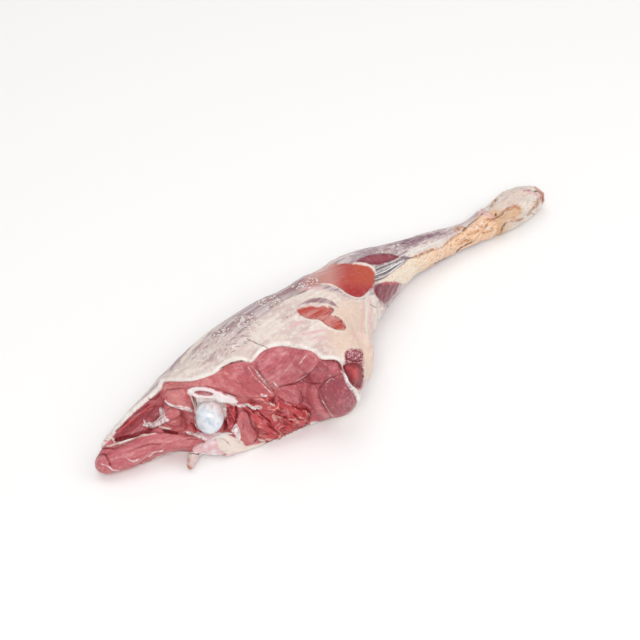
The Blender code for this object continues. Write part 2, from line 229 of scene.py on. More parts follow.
# Small things on the show side: what they are, half their width in mm (0 for a closed
# patch), how far they stand up in mm, and their line. Dark marks are painted shade.
MARKS = (
    # white membrane
    ("white", 0, 1.0, (
        (-147, -80), (-143, -82), (-142, -88), (-138, -92), (-144, -95), (-150, -98), (-161, -98),
        (-162, -95), (-157, -94), (-151, -93), (-147, -88),
    )),
    ("white", 0, 0.6, (
        (-142, -73), (-136, -77), (-128, -78.5), (-121, -79.5), (-116, -83.5), (-122, -83),
        (-129, -82), (-137, -79.5), (-141, -76),
    )),
    ("red", 1.0, 0.1, ((56, 33), (63, 34), (71, 34.6))),
    ("dark", 0.7, -0.4, ((50, 29), (51, 24), (55, 20))),
    ("clot_and_shadow", 0.6, -0.4, ((57, 17), (60, 14), (62, 11))),
    ("rust", 1.0, 0.5, ((104, 50), (113, 55), (120, 58), (124, 61))),
    ("rust", 0.8, 0.3, ((112, 69), (118, 73), (124, 76.5), (131, 80))),
    ("rust", 1.2, 0.3, ((126, 70), (131, 73), (138, 74.5))),
    ("rust", 1.0, 0.3, ((146, 80), (152, 81), (158, 84))),
    ("clot_and_shadow", 0.5, -0.4, ((186, 117), (194, 119), (200, 118))),
    ("clot_and_shadow", 0.5, -0.3, ((158, 92), (163, 94), (168, 98))),
    ("white", 0.7, 0.5, ((-162, -91), (-160, -95), (-158, -98))),
    ("white", 1.4, 0.8, ((-122, -103), (-115, -105), (-108, -108), (-105, -110))),
    ("white", 0, 0.8, (
        (-79, -97), (-76, -96), (-74, -101), (-73, -109), (-76, -110), (-78, -105), (-81, -101),
    )),
    ("white", 0.8, 0.5, ((19, -47), (22, -53), (27, -61), (33, -70), (34, -77))),
    ("white", 0.35, 0.2, ((-62, -42), (-57, -49), (-50, -57), (-44, -64))),
    ("white", 0.3, 0.2, ((-66, -43), (-60, -52), (-52, -60), (-45, -67))),
    ("white", 0.3, 0.2, ((-58, -50), (-53, -55), (-47, -62))),
    ("white", 0.45, 0.2, ((-43, -56), (-40, -60), (-38, -62))),
    ("white", 0.3, 0.2, ((-22, -56), (-17, -53), (-12, -50), (-6, -44))),
    ("white", 0.4, 0.2, ((6, -57), (10, -54), (13, -54))),
    ("white", 0.35, 0.2, ((-34, -47), (-31, -44))),
    ("white", 0.3, 0.1, ((-18, -40), (-15, -36), (-12, -32))),
    ("white", 0.35, 0.2, ((2, -73), (5, -79), (8, -84), (12, -89))),
    ("white", 1.5, 0.8, ((-81, -77), (-72, -79), (-66, -78), (-60, -81), (-54, -80))),
    ("white", 1.3, 0.6, ((-54, -68), (-51, -70), (-49, -69))),
    ("white", 0.6, 0.4, ((-200, -132), (-194, -134), (-190, -137), (-184, -138))),
    ("white", 0.5, 0.3, ((-178, -126), (-172, -129), (-166, -127))),
    ("white", 1.0, 0.5, ((-157, -126), (-152, -122), (-144, -120))),
    ("white", 0.5, 0.3, ((-183, -112), (-172, -108), (-162, -104))),
    ("white", 0.5, 0.3, ((50, 46.5), (58, 50), (66, 53), (73, 57))),
    ("white", 0.45, 0.3, ((50, 42.5), (58, 46), (66, 50), (76, 55))),
    ("white", 0.35, 0.2, ((52, 39), (60, 41), (66, 44))),
    # cream fat and folds
    ("cream", 1.3, 0.8, ((-200, -112), (-195, -108), (-191, -108), (-188, -112))),
    ("cream", 1.2, 0.6, ((-147, -98), (-142, -99), (-137, -100))),
    ("cream", 1.6, 0.5, ((-128, -40), (-119, -30), (-108, -18), (-99, -8), (-90, -2))),
    ("cream", 0.9, 0.7, ((-21, 4), (-12, -0.5), (-2, -1.5), (5, -6), (14, -11), (24, -12))),
    ("cream", 0.8, 0.6, ((0, 32), (10, 31), (18, 27), (25, 21.5), (36, 19.5), (44, 25))),
    ("cream", 0.8, 0.3, ((-8, 25), (4, 25), (13, 22), (18, 16))),
    ("cream", 0.9, 0.6, ((30, 51), (39, 50), (47, 47), (50, 42))),
    ("cream", 1.2, 0.5, ((-92, -118), (-78, -118), (-64, -116), (-50, -112))),
    ("cream", 1.0, 0.6, ((-66, -77), (-64, -79))),
    ("cream", 1.0, 0.6, ((-57, -109), (-50, -111))),
    # fresh red
    ("red", 1.3, 0.8, ((-124, -63), (-122, -67), (-122, -72))),
    ("red", 1.6, 0.6, ((-120, -97), (-117, -98), (-116, -102))),
    ("red", 1.2, 0.0, ((-196, -111), (-193, -114))),
    ("red", 2.4, 0.5, ((-46, -103), (-40, -106), (-35, -105))),
    ("red", 2.2, 0.5, ((-30, -87), (-27, -94), (-26, -102))),
    ("red", 1.4, 0.3, ((-23, -79), (-18, -84), (-14, -87))),
    ("red", 1.2, 0.3, ((-155, -78.5), (-170, -90.5), (-184, -103))),
    ("dark", 0.9, -0.8, ((-157, -77.5), (-172, -89.5), (-187, -102.5))),
    ("rust", 1.2, 0.2, ((-122, -132), (-118, -137), (-116, -141))),
    ("red", 0.8, 0.1, ((-122, -125), (-119, -130))),
    ("cream", 1.0, 0.5, ((-60, -79), (-56, -78), (-53, -79))),
    ("cream", 0.8, 0.4, ((-46, -76), (-42, -78))),
    # painted shade: deep red in hollows and cracks
    ("dark", 1.5, -2.2, ((-187, -110), (-175, -107), (-165, -104), (-158, -101), (-149, -98))),
    ("dark", 1.4, -2.2, ((-144, -101), (-138, -102.5), (-131, -103.5))),
    ("dark", 0.7, -0.8, ((-119, -94), (-115.5, -96), (-114, -101))),
    ("dark", 0.7, -0.8, ((-122, -110), (-117, -109), (-112, -110))),
    ("dark", 0.6, -0.7, ((-109, -111), (-105, -112), (-108, -115))),
    ("dark", 1.0, -1.0, ((-157, -73), (-152, -73), (-149, -70), (-147, -67))),
    ("dark", 1.2, -1.8, ((-77, -80), (-75.5, -87), (-77, -94), (-80, -99))),
    ("dark", 1.2, -1.4, ((-88, -90), (-86.5, -97), (-88, -101))),
    ("dark", 0.6, -1.2, ((-71, -82), (-66, -86), (-64, -92), (-62, -98), (-59, -102))),
    ("dark", 0.8, -1.4, ((-58, -82), (-52, -88), (-47, -92), (-44, -97))),
    ("dark", 0.9, -1.4, ((-48, -95), (-43, -100), (-38, -103))),
    ("dark", 0.9, -1.4, ((-44, -86), (-37, -90), (-31, -90), (-25, -95))),
    ("dark", 1.0, -1.6, ((-25, -79), (-18, -81), (-13, -82), (-9, -86))),
    ("dark", 0.9, -1.4, ((-24, -86), (-20, -91), (-14, -91))),
    ("dark", 0.9, -1.4, ((-42, -71), (-43, -77))),
    ("dark", 0.5, -0.8, ((-60, -44), (-54, -53), (-47, -61), (-42, -66), (-39, -72))),
    ("dark", 0.5, -0.6, ((-38, -61.5), (-29, -59.5), (-21, -59))),
    ("dark", 0.6, -0.6, ((2, -37.5), (10, -37.5), (15, -38.5), (18, -43), (19, -47))),
    ("dark", 0.5, -0.5, ((0, -62), (3, -70), (7, -78), (11, -84))),
    ("dark", 0.5, -0.5, ((-20, -62), (-16, -70), (-17, -78))),
    ("dark", 0.7, -0.8, ((-115, -71), (-113.5, -75), (-113, -79))),
    ("dark", 0.9, -0.8, ((-206, -126), (-198, -123), (-194, -129), (-192, -134))),
    ("dark", 1.0, -1.0, ((21, -41), (23, -50), (30, -60), (35, -62))),
    ("dark", 0.8, -0.8, ((36, -40), (39, -47), (39, -53))),
    ("dark", 1.0, -0.8, ((24, -31), (25, -36), (33, -38), (37, -37))),
    ("dark", 0.5, -0.6, ((-19, 4.5), (-12, 1), (-4, 0), (2, -1.5), (9, -6), (18, -9))),
    ("dark", 0.7, -0.7, ((8, 4), (12, 9), (8, 12.5))),
    ("dark", 0.6, -0.7, ((13, 3.5), (18, 1), (22, -4), (23, -8))),
    # brown and black, dried, and a painted shadow under the lip
    ("clot_and_shadow", 0.5, -0.6, ((-67, -17.5), (-62, -20), (-55, -23), (-48, -26))),
    ("clot_and_shadow", 0.5, -0.4, ((-92, -45), (-84, -40.5), (-74, -37.7), (-65, -39))),
    # painted shadow along the lower edge of the lip
    ("clot_and_shadow", 1.0, -1.2, ((-119, -122.5), (-110, -123), (-100, -124.3), (-92, -124), (-87, -122))),
    ("clot_and_shadow", 0.5, -0.4, ((-83, -68.5), (-80, -69.5), (-77, -70.5))),
    ("clot_and_shadow", 0.7, -0.5, ((-30.5, 2.5), (-29.5, 2.2))),
    ("clot_and_shadow", 0.5, -0.5, ((45, 14), (48, 12.5), (51, 11))),
    ("clot_and_shadow", 0.7, -0.8, ((48, 35), (52, 37), (58, 39), (66, 45), (72, 50))),
    ("clot_and_shadow", 0.5, -0.6, ((50, 40.5), (58, 43.5), (66, 47), (74, 52))),
    ("clot_and_shadow", 0.5, -0.6, ((50, 44.5), (60, 48.5), (70, 53))),
    ("clot_and_shadow", 0.4, -0.4, ((71, 57), (80, 56.5), (86, 57.5))),
    ("clot_and_shadow", 0.6, -0.8, ((130, 80.5), (137, 87), (143, 91), (149, 96))),
    ("clot_and_shadow", 0.5, -0.5, ((97, 49.5), (108, 55), (120, 60))),
    ("clot_and_shadow", 0.7, -0.6, ((124, 61.5), (126, 65), (133, 70), (141, 73.5))),
    ("clot_and_shadow", 0.6, -0.6, ((165, 79), (166, 83), (169, 87), (172, 89.5))),
    ("clot_and_shadow", 1.3, 0.4, ((164, 78.5), (166.5, 78.5))),
    ("clot_and_shadow", 0.9, -0.4, ((160.5, 95), (161.5, 98))),
    ("clot_and_shadow", 0.5, -0.3, ((200, 118), (203.5, 113), (203.5, 108))),
    ("clot_and_shadow", 0.4, -0.4, ((148, 95), (151, 97), (154, 98.5))),
    ("clot_and_shadow", 0.4, -0.3, ((193, 98), (197, 97))),
    # tan and rust
    ("rust", 1.4, 0.4, ((84, 57), (92, 60.5), (98, 63), (106, 66))),
    ("rust", 2.6, 0.8, ((123, 81), (128, 82.5), (133, 82))),
    ("rust", 1.4, 0.4, ((150, 91), (156, 91.5), (162, 91))),
    ("rust", 1.4, 0.4, ((158, 92), (163, 95), (170, 100), (176, 102.5))),
    ("rust", 1.6, 0.4, ((170, 101), (177, 104), (183, 102))),
    ("rust", 1.3, 0.3, ((174, 91), (180, 91.5), (186, 93.5))),
    ("rust", 1.8, 0.5, ((190, 96), (196, 103), (200, 108), (202, 113))),
    ("rust", 1.0, 0.3, ((144, 86), (149, 84), (153, 87))),
    ("rust", 0.9, 0.2, ((134, 77), (140, 80), (147, 82))),
    ("rust", 1.0, 0.2, ((156, 104), (160, 109), (163, 111))),
    ("cream", 0, 0.2, (
        (-90, -105), (-78, -108), (-70, -113), (-72, -118), (-84, -121), (-92, -117), (-94, -110),
    )),
    ("clot_and_shadow", 0.4, -0.3, ((-92, -108), (-86, -111), (-82, -116))),
    ("pink", 1.6, 0.3, ((-113, -104), (-106, -109), (-97, -110), (-89, -113))),
    ("pink", 1.3, 0.2, ((-101, -118), (-94, -114), (-86, -113), (-80, -109))),
    ("pink", 1.2, 0.1, ((44, 20), (46, 10), (45, 0), (46, -10))),
    ("pink", 0.9, 0.1, ((38, 14), (39, 4), (37, -6), (38, -18))),
    ("pink", 0.8, 0.1, ((28, -4), (30, -14), (28, -24))),
    ("cream", 1.0, 0.5, ((40, 19), (42, 8), (41, -4), (43, -16))),
    ("cream", 1.0, 0.4, ((49, 18), (50, 6), (50, -6), (52, -18))),
    ("dark", 0.8, -0.5, ((-203, -119), (-195, -117), (-188, -118), (-181, -115))),
    ("dark", 0.6, -0.4, ((-176, -121), (-166, -117), (-155, -114), (-146, -114))),
    ("cream", 0.9, 0.3, ((-196, -116), (-184, -112.5), (-172, -109), (-160, -105.5), (-150, -104))),
    ("pink", 3.0, 1.2, ((146, 97), (149, 99), (152, 98.5))),
    ("pink", 1.8, 0.4, ((184, 118.5), (192, 118), (199, 115), (202, 110))),
    ("pink", 1.4, 0.3, ((150, 95), (156, 95), (161, 93))),
    ("pink", 3.0, 0.3, ((-108, -105.5), (-103, -106), (-98, -106))),
    ("pink", 1.6, 0.2, ((-17, 27), (-6, 28.5), (2, 27.5))),
    ("pink", 1.4, 0.1, ((-18, -14), (-6, -12), (6, -9))),
    ("pink", 1.0, 0.1, ((-12, -19), (-2, -17), (6, -16))),
    ("pink", 1.5, 0.0, ((-30, -8), (-22, -4), (-16, -2))),
)
MARK_KINDS = ("white", "cream", "red", "dark", "clot_and_shadow", "rust", "pink")

# Rows in which crumbs of fat lie on the membrane.
CRUMB_ROWS = (
    ((-98, -15), (-90, -12), (-82, -9)),
    ((-79, -6), (-70, -2), (-60, 0)),
    ((-75, -1), (-68, 2), (-63, 4)),
    ((-67, -5), (-62, -8), (-57, -3)),
    ((-58, 15), (-50, 18), (-38, 20)),
    ((-44, 12), (-38, 16), (-30, 14)),
    ((-22, 30), (-12, 33), (-1, 35)),
    ((60, 65), (64, 67), (68, 68)),
)

# What each muscle of the cut does: how far it swells (mm), the way its fibres run
# (degrees on the show plane), and how pale and how warm it is (0 to 1).
MUSCLES = {
    "main_lobe": (2.6, 35, 0.58, 0.18),
    "small_lobe": (1.6, 60, 0.26, 0.25),
    "big_lobe": (2.4, -50, 0.12, 0.12),
    "low_middle": (1.0, -28, 0.58, 0.35),
    "rim_muscle": (1.6, -38, 0.60, 0.50),
    "torn": (0.4, -32, 0.46, 0.80),
    "thigh_slab": (1.8, -65, 0.66, 0.45),
    "beside_ball": (0.8, -75, 0.46, 0.60),
    "low_wedge": (0.8, -35, 0.45, 0.80),
    "hip_muscle": (1.0, -35, 0.62, 0.45),
    "big_deep": (0.0, -50, -0.30, 0.15),
    "main_silver": (0.0, 35, 1.10, 0.0),
    "rim_light": (0.0, -20, 1.20, 0.60),
    "rim_deep": (0.0, -38, 0.10, 0.30),
    "hip_lobe": (2.4, 10, 0.80, 0.40),
    "hip_low": (1.8, -5, 0.45, 0.55),
    "hip_crest": (1.2, -30, 1.10, 0.70),
    "pocket": (0.0, 38, 0.22, 0.45),
    "tail": (1.4, 22, 0.58, 0.30),
    "slot": (0.0, -10, 0.8, 0.0),
}


# ---- small tools ----------------------------------------------------------------------
def linear(code):
    """An sRGB hex colour as linear red, green, blue and alpha."""
    parts = [int(code[i : i + 2], 16) / 255 for i in (1, 3, 5)]
    return (*[c / 12.92 if c <= 0.04045 else ((c + 0.055) / 1.055) ** 2.4 for c in parts], 1.0)


def smooth_step(value, low, high):
    t = np.clip((value - low) / (high - low), 0.0, 1.0)
    return t * t * (3 - 2 * t)


def scramble(cells, seed):
    """A whole number for each grid cell that looks random but never changes."""
    mixed = cells[:, 0] * 73856093 ^ cells[:, 1] * 19349663 ^ cells[:, 2] * 83492791 ^ seed * 961748927
    mixed = (mixed ^ mixed >> 13) * 1274126177 & 0xFFFFFFFF
    return mixed ^ mixed >> 16


def lumps(points, size, seed=0):
    """Smooth noise from -1 to 1 whose lumps are about size mm across."""
    scaled = points / size
    cell = np.floor(scaled).astype(np.int64)
    part = scaled - cell
    part = part * part * (3 - 2 * part)
    total = np.zeros(len(points))
    for corner in itertools.product((0, 1), repeat=3):
        weight = np.prod(np.where(corner, part, 1 - part), axis=1)
        total += weight * ((scramble(cell + corner, seed) & 0xFFFF) / 32767.5 - 1)
    return total


def clods(points, size, seed=0):
    """Height from 0 in the cracks to 1 on the crowns of clods about size mm across."""
    scaled = points / size
    cell = np.floor(scaled).astype(np.int64)
    first = np.full(len(points), 9.0)
    second = first.copy()
    for step in itertools.product((-1, 0, 1), repeat=3):
        mixed = scramble(cell + step, seed)
        heart = np.stack([(mixed >> shift & 0x3FF) / 1023 for shift in (0, 10, 20)], axis=1)
        gap = np.linalg.norm(scaled - cell - step - heart, axis=1)
        second = np.where(gap < first, first, np.minimum(second, gap))
        first = np.minimum(first, gap)
    return smooth_step(second - first, 0.0, 0.6)


def layered_lumps(points, size, seed=0, layers=3):
    """Noise with finer lumps on coarser ones, each half as strong as the last."""
    return sum(lumps(points, size / 2**i, seed + i) / 2**i for i in range(layers))


def rounded(points, closed=True, pieces=5):
    """A smooth line (Catmull-Rom) through the points."""
    given = np.array(points, float)
    count = len(given)
    spans = count if closed else count - 1
    made = []
    for i in range(spans):
        if closed:
            a, b, c, d = (given[(i + k) % count] for k in (-1, 0, 1, 2))
        else:
            a, b, c, d = (given[min(max(i + k, 0), count - 1)] for k in (-1, 0, 1, 2))
        for t in np.arange(pieces) / pieces:
            made.append(
                0.5
                * (
                    2 * b + (c - a) * t + (2 * a - 5 * b + 4 * c - d) * t**2
                    + (3 * b - a - 3 * c + d) * t**3
                )
            )
    if not closed:
        made.append(given[-1])
    return np.array(made)


def distance_to(line, places, closed):
    """Distance of each place to a line, and how far along the line (0 to 1) it comes nearest."""
    ends = np.roll(line, -1, axis=0) if closed else line[1:]
    starts = line if closed else line[:-1]
    best = np.full(len(places), 1e9)
    along = np.zeros(len(places))
    for i, (start, end) in enumerate(zip(starts, ends)):
        run = end - start
        t = np.clip(((places - start) @ run) / max(run @ run, 1e-9), 0, 1)
        gap = np.linalg.norm(places - start - t[:, None] * run, axis=1)
        nearer = gap < best
        best[nearer] = gap[nearer]
        along[nearer] = (i + t[nearer]) / len(starts)
    return best, along


def depth_inside(outline, places, reach=16.0):
    """How many mm each place lies inside a closed outline; outside it is negative."""
    line = rounded(outline)
    depth = np.full(len(places), -reach)
    near = np.all((places > line.min(0) - reach) & (places < line.max(0) + reach), axis=1)
    spots = places[near]
    gap, _ = distance_to(line, spots, True)
    inside = np.zeros(len(spots), bool)
    for (x0, y0), (x1, y1) in zip(line, np.roll(line, -1, axis=0)):
        if y0 == y1:
            continue
        crosses = (y0 > spots[:, 1]) != (y1 > spots[:, 1])
        side = (x1 - x0) * (spots[:, 1] - y0) / (y1 - y0) + x0
        inside ^= crosses & (spots[:, 0] < side)
    depth[near] = np.where(inside, gap, -np.minimum(gap, reach))
    return depth


def distance_to_line(points, places, reach=12.0):
    """Distance in mm to an open line on the show plane, up to reach, and the share along it."""
    line = rounded(points, closed=False)
    gap = np.full(len(places), reach)
    along = np.zeros(len(places))
    near = np.all((places > line.min(0) - reach) & (places < line.max(0) + reach), axis=1)
    found, share = distance_to(line, places[near], False)
    gap[near] = np.minimum(found, reach)
    along[near] = share
    return gap, along


def on_show_plane(points):
    """Where points (mm) fall on the show plane, seen from its eye point."""
    ray = points - SHOW_EYE
    reach = SHOW_DISTANCE / -(ray @ BACK)
    hit = SHOW_EYE + ray * reach[:, None] - SHOW_ZERO
    return np.stack((hit @ RIGHT, hit @ UP), axis=1)


def add_mesh(name, points, faces, material, home=None):
    """A smooth-shaded mesh object from points in mm."""
    mesh = bpy.data.meshes.new(name)
    mesh.from_pydata((np.asarray(points) * MM).tolist(), [], [tuple(face) for face in faces])
    mesh.update()
    mesh.polygons.foreach_set("use_smooth", np.ones(len(mesh.polygons), bool))
    mesh.materials.append(material)
    made = bpy.data.objects.new(name, mesh)
    (home or bpy.context.scene.collection).objects.link(made)
    return made


def store(mesh, name, values):
    """A number for each vertex, for the material to read."""
    made = mesh.attributes.new(name, "FLOAT", "POINT")
    made.data.foreach_set("value", np.asarray(values, np.float32))


def store_vector(mesh, name, values):
    made = mesh.attributes.new(name, "FLOAT_VECTOR", "POINT")
    made.data.foreach_set("vector", np.asarray(values, np.float32).ravel())


class Skin:
    """The points and triangles of a closed mesh, in mm, for shaping with numpy."""

    def __init__(self, mesh):
        mesh.calc_loop_triangles()
        self.points = np.zeros(len(mesh.vertices) * 3)
        mesh.vertices.foreach_get("co", self.points)
        self.points = self.points.reshape(-1, 3) / MM
        self.faces = np.zeros(len(mesh.loop_triangles) * 3, np.int64)
        mesh.loop_triangles.foreach_get("vertices", self.faces)
        self.faces = self.faces.reshape(-1, 3)
        self.link()

    def link(self):
        """Find the edges, and the three edges of each triangle."""
        count = len(self.points)
        pairs = np.sort(np.stack((self.faces, np.roll(self.faces, -1, axis=1)), axis=2), axis=2)
        keys, self.face_edges = np.unique(pairs[..., 0] * count + pairs[..., 1], return_inverse=True)
        self.face_edges = self.face_edges.reshape(-1, 3)
        self.edges = np.stack((keys // count, keys % count), axis=1)
        self.degree = np.bincount(self.edges.ravel(), minlength=count)

    def average(self, values, rounds=1, factor=1.0):
        """Values at the points, blurred over their neighbours."""
        a, b = self.edges.T
        values = np.array(values, float)
        flat = values.ndim == 1
        values = values[:, None] if flat else values
        for _ in range(rounds):
            total = np.stack(
                [
                    np.bincount(a, column[b], len(column)) + np.bincount(b, column[a], len(column))
                    for column in values.T
                ],
                axis=1,
            )
            values = values + factor * (total / self.degree[:, None] - values)
        return values[:, 0] if flat else values

    def ease(self, rounds):
        """Smooth the skin without shrinking it (Taubin)."""
        for _ in range(rounds):
            self.points = self.average(self.points, 1, 0.6)
            self.points = self.average(self.points, 1, -0.62)

    def normals(self, blur=0):
        a, b, c = (self.points[self.faces[:, i]] for i in range(3))
        face = np.cross(b - a, c - a)
        total = np.stack(
            [
                sum(np.bincount(self.faces[:, k], face[:, axis], len(self.points)) for k in range(3))
                for axis in range(3)
            ],
            axis=1,
        )
        if blur:
            total = self.average(total, blur)
        return total / np.maximum(np.linalg.norm(total, axis=1), 1e-9)[:, None]

    def hollow(self, rounds):
        """How far each point lies below its surroundings, in mm."""
        return np.sum((self.average(self.points, rounds) - self.points) * self.normals(2), axis=1)

    def outer_only(self):
        """Drop pockets of skin that are closed off inside the body."""
        label = np.arange(len(self.points))
        a, b = self.edges.T
        while True:
            lowest = np.minimum(label[a], label[b])
            before = label.copy()
            np.minimum.at(label, a, lowest)
            np.minimum.at(label, b, lowest)
            label = label[label]
            if np.array_equal(before, label):
                break
        names, counts = np.unique(label, return_counts=True)
        keep = label == names[np.argmax(counts)]
        renumber = np.cumsum(keep) - 1
        self.points = self.points[keep]
        self.faces = renumber[self.faces[keep[self.faces[:, 0]]]]
        self.link()

    def refine(self, chosen):
        """Split the chosen triangles in four, and their neighbours so that no gap is left."""
        marked = np.zeros(len(self.edges), bool)
        marked[self.face_edges[chosen].ravel()] = True
        middle = np.full(len(self.edges), -1)
        middle[marked] = len(self.points) + np.arange(marked.sum())
        self.points = np.concatenate((self.points, self.points[self.edges[marked]].mean(axis=1)))
        halves = middle[self.face_edges]
        count = (halves >= 0).sum(axis=1)
        made = [self.faces[count == 0]]
        (a, b, c), (ab, bc, ca) = self.faces[count == 3].T, halves[count == 3].T
        made += [np.stack(f, axis=1) for f in ((a, ab, ca), (ab, b, bc), (ca, bc, c), (ab, bc, ca))]
        for k in range(3):
            one = (count == 1) & (halves[:, k] >= 0)
            a, b, c = np.roll(self.faces[one], -k, axis=1).T
            half = halves[one, k]
            made += [np.stack(f, axis=1) for f in ((a, half, c), (half, b, c))]
            two = (count == 2) & (halves[:, k] < 0)
            a, b, c = np.roll(self.faces[two], -k, axis=1).T
            _, bc, ca = np.roll(halves[two], -k, axis=1).T
            made += [np.stack(f, axis=1) for f in ((a, b, bc), (a, bc, ca), (ca, bc, c))]
        self.faces = np.concatenate(made)
        self.link()


def remeshed(name, parts, grain):
    """One Skin round several overlapping meshes (bmesh), on a grid of grain metres."""
    joined = bpy.data.meshes.new(name)
    for part in parts:
        held = bpy.data.meshes.new("held")
        part.to_mesh(held)
        part.free()
        gather = bmesh.new()
        gather.from_mesh(joined)
        gather.from_mesh(held)
        gather.to_mesh(joined)
        gather.free()
        bpy.data.meshes.remove(held)
    helper = bpy.data.objects.new(name, joined)
    bpy.context.scene.collection.objects.link(helper)
    grid = helper.modifiers.new("grid", "REMESH")
    grid.mode = "VOXEL"
    grid.voxel_size = grain
    graph = bpy.context.evaluated_depsgraph_get()
    fine = bpy.data.meshes.new_from_object(helper.evaluated_get(graph))
    bpy.data.objects.remove(helper)
    bpy.data.meshes.remove(joined)
    skin = Skin(fine)
    bpy.data.meshes.remove(fine)
    skin.outer_only()
    return skin


def node_copy(name):
    """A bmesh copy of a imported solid."""
    copy = bmesh.new()
    copy.from_mesh(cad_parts[name].data)
    bmesh.ops.remove_doubles(copy, verts=copy.verts, dist=0.01 * MM)
    return copy


def cut_off(copy, x, keep_low):
    """Cut a bmesh square to the leg at x mm and close the cut."""
    geometry = copy.verts[:] + copy.edges[:] + copy.faces[:]
    cut = bmesh.ops.bisect_plane(
        copy,
        geom=geometry,
        plane_co=(x * MM, 0, 0),
        plane_no=(1, 0, 0),
        clear_outer=keep_low,
        clear_inner=not keep_low,
    )
    rim = [item for item in cut["geom_cut"] if isinstance(item, bmesh.types.BMEdge)]
    bmesh.ops.holes_fill(copy, edges=rim, sides=0)
    bmesh.ops.triangulate(copy, faces=copy.faces)
    return copy


class Board:
    """Finds places on the finished skin of the leg from the show plane."""

    def __init__(self, skin):
        self.tree = BVHTree.FromPolygons(skin.points.tolist(), skin.faces.tolist())

    def hit(self, across, up):
        """The point (mm) and outward direction where the skin shows at a place on the plane."""
        aim = SHOW_ZERO + RIGHT * across + UP * up - SHOW_EYE
        point, normal, _, _ = self.tree.ray_cast(Vector(SHOW_EYE), Vector(aim).normalized())
        if point is None:
            return None
        return np.array(point), np.array(normal)

    def path(self, places, lift=0.0, steps=4):
        """Points and directions on the skin below a smooth line on the plane."""
        found = [self.hit(*place) for place in rounded(places, closed=False, pieces=steps)]
        found = [item for item in found if item is not None]
        return [point + normal * lift for point, normal in found], [normal for _, normal in found]


class Strands:
    """Tapered, flattened tubes gathered into one mesh."""

    def __init__(self):
        self.points = []
        self.faces = []
        self.shades = []

    def add(self, path, normals, width, thick, shade=0.5, sides=8, taper=0.35):
        """A strand along path: width and thick in mm at its middle, narrowing to taper at its ends."""
        path = np.array(path)
        count = len(path)
        if count < 3:
            return
        run = np.gradient(path, axis=0)
        run /= np.maximum(np.linalg.norm(run, axis=1), 1e-9)[:, None]
        lift = np.array(normals) - run * np.sum(np.array(normals) * run, axis=1)[:, None]
        lift /= np.maximum(np.linalg.norm(lift, axis=1), 1e-9)[:, None]
        side = np.cross(run, lift)
        share = np.linspace(0, 1, count)
        swell = taper + (1 - taper) * np.sin(math.pi * share) ** 0.6
        start = sum(map(len, self.points))
        turn = np.linspace(0, 2 * math.pi, sides, endpoint=False)
        for i in range(count):
            ring = (
                path[i]
                + np.cos(turn)[:, None] * side[i] * width * 0.5 * swell[i]
                + np.sin(turn)[:, None] * lift[i] * thick * 0.5 * swell[i]
            )
            self.points.append(ring)
            self.shades += [shade] * sides
        for i in range(count - 1):
            for k in range(sides):
                j = (k + 1) % sides
                low, high = start + i * sides, start + (i + 1) * sides
                self.faces.append((low + k, low + j, high + j, high + k))
        self.faces.append(tuple(start + k for k in reversed(range(sides))))
        last = start + (count - 1) * sides
        self.faces.append(tuple(last + k for k in range(sides)))

    def build(self, name, material):
        made = add_mesh(name, np.concatenate(self.points), self.faces, material)
        store(made.data, "shade", self.shades)
        return made


def place(piece, slot, *nodes):
    """Fix a piece to the leg and hide the imported solids it stands for."""
    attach(piece, "root")
    if nodes:
        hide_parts(*nodes)
    return piece


# ---- sizes and colours that can be changed ----------------------------------------------
def length(name, description, millimetres):
    return bpy.props.FloatProperty(
        name=name,
        description=description,
        default=millimetres * MM,
        min=0.0,
        subtype="DISTANCE",
        unit="LENGTH",
        precision=5,
    )


def colour(name, description, code):
    return bpy.props.FloatVectorProperty(
        name=name, description=description, default=linear(code), size=4, min=0, max=1, subtype="COLOR"
    )


class LambSizes(bpy.types.PropertyGroup):
    """Sizes of the relief, in metres."""

    meat_grain: length("Meat grid", "Spacing of the grid that the meat is shaped on", 2.1)
    hock_grain: length("Hock grid", "Spacing of the grid that the hock is shaped on", 0.8)
    fat_depth: length("Fat thickness", "How far the fat cover stands above the cut", 1.3)
    seam_depth: length("Seam depth", "Depth of the creases between muscles", 1.6)
    torn_depth: length("Torn relief", "Height of the ragged muscle ends", 2.4)
    ball_radius: length("Ball radius", "Radius of the hip ball", 13.2)
    shred_size: length("Shred", "Length of a torn shred of muscle", 8.0)
    crumb_size: length("Fat crumb", "Length of a crumb of fat on the membrane", 2.6)


